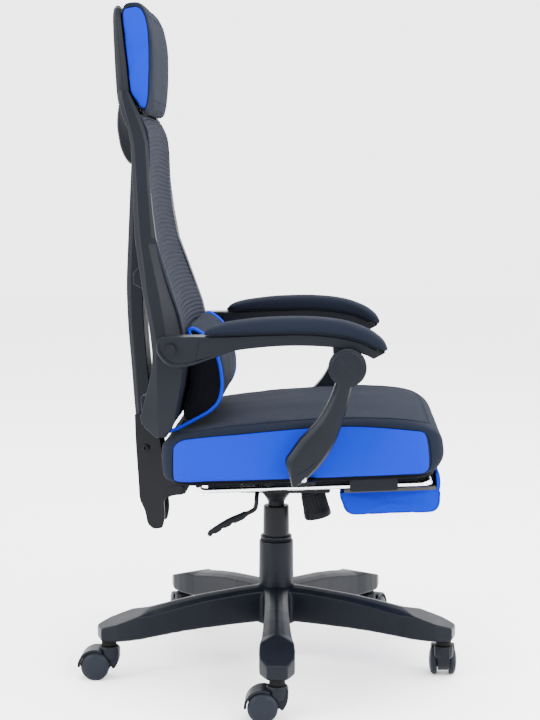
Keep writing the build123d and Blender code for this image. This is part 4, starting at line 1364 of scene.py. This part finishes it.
# name, place, aim, width, power in watts, tint
LAMPS = (("key_softbox", (-2.4, -2.0, 2.5), (0, 0, 0.6), 1.4, 130, (1, 1, 1)),
         ("front_softbox", (-0.4, -3.0, 1.6), (0, 0, 0.6), 1.4, 90, (1, 0.99, 0.98)),
         ("rear_softbox", (-1.9, 2.6, 1.7), (0, 0.2, 0.7), 1.2, 130, (0.97, 0.98, 1)),
         ("top_softbox", (0.1, 0.0, 3.2), (0, 0, 0.4), 1.8, 130, (1, 1, 1)))
CAMERA_AT = (-2.6828, -0.1131, 0.8643)
CAMERA_PITCH, CAMERA_YAW = 0.11486, 0.04634
LENS = 75.44


def make_studio():
    floor_mesh = bpy.data.meshes.new("floor")
    corners = [(x * FLOOR_HALF, y * FLOOR_HALF, 0) for x, y in ((-1, -1), (1, -1), (1, 1), (-1, 1))]
    floor_mesh.from_pydata(corners, [], [(0, 1, 2, 3)])
    floor = bpy.data.objects.new("floor", floor_mesh)
    scene.collection.objects.link(floor)
    n = Nodes("pale_floor", Specular_IOR_Level=0.15)
    tone = n.ramp(n.noise(0.8, 3.0), (0.3, (0.95, 0.95, 0.955)), (0.7, (0.97, 0.97, 0.975)))
    floor_mesh.materials.append(n.done(tone, n.span(n.noise(3.0), 0.75, 0.85)))
    world = bpy.data.worlds.new("studio")
    scene.world = world
    world.use_nodes = True
    world.node_tree.nodes["Background"].inputs["Color"].default_value = (0.98, 0.985, 1.0, 1)
    world.node_tree.nodes["Background"].inputs["Strength"].default_value = SKY_STRENGTH
    for name, at, aim, size, power, tint in LAMPS:
        data = bpy.data.lights.new(name, "AREA")
        data.shape = "SQUARE"
        data.size = size
        data.energy = power
        data.color = tint
        lamp = bpy.data.objects.new(name, data)
        lamp.location = at
        lamp.rotation_euler = (Vector(aim) - Vector(at)).to_track_quat("-Z", "Y").to_euler()
        scene.collection.objects.link(lamp)


def make_camera():
    data = bpy.data.cameras.new("camera")
    camera = bpy.data.objects.new("camera", data)
    scene.collection.objects.link(camera)
    data.sensor_width = 36.0
    data.lens = LENS
    data.clip_end = 50
    camera.location = CAMERA_AT
    camera.rotation_euler = (math.pi / 2 - CAMERA_PITCH, 0, CAMERA_YAW - math.pi / 2)
    scene.camera = camera


def main():
    make_studio()
    make_camera()
    make_base()
    for number in range(5):
        make_caster(number)
    make_mechanism()
    make_knob()
    make_lever()
    make_rails()
    make_back_shells()
    make_recline_bracket()
    make_mesh_panel()
    for side, word in SIDES:
        make_armrest(side, word)
        make_post(side, word)
    make_rails_under_seat()
    make_under_seat()
    make_post_feet()
    make_foot_pad()
    make_seat()
    make_pillow()
    make_headrest()
    finish_cad_nodes()


main()
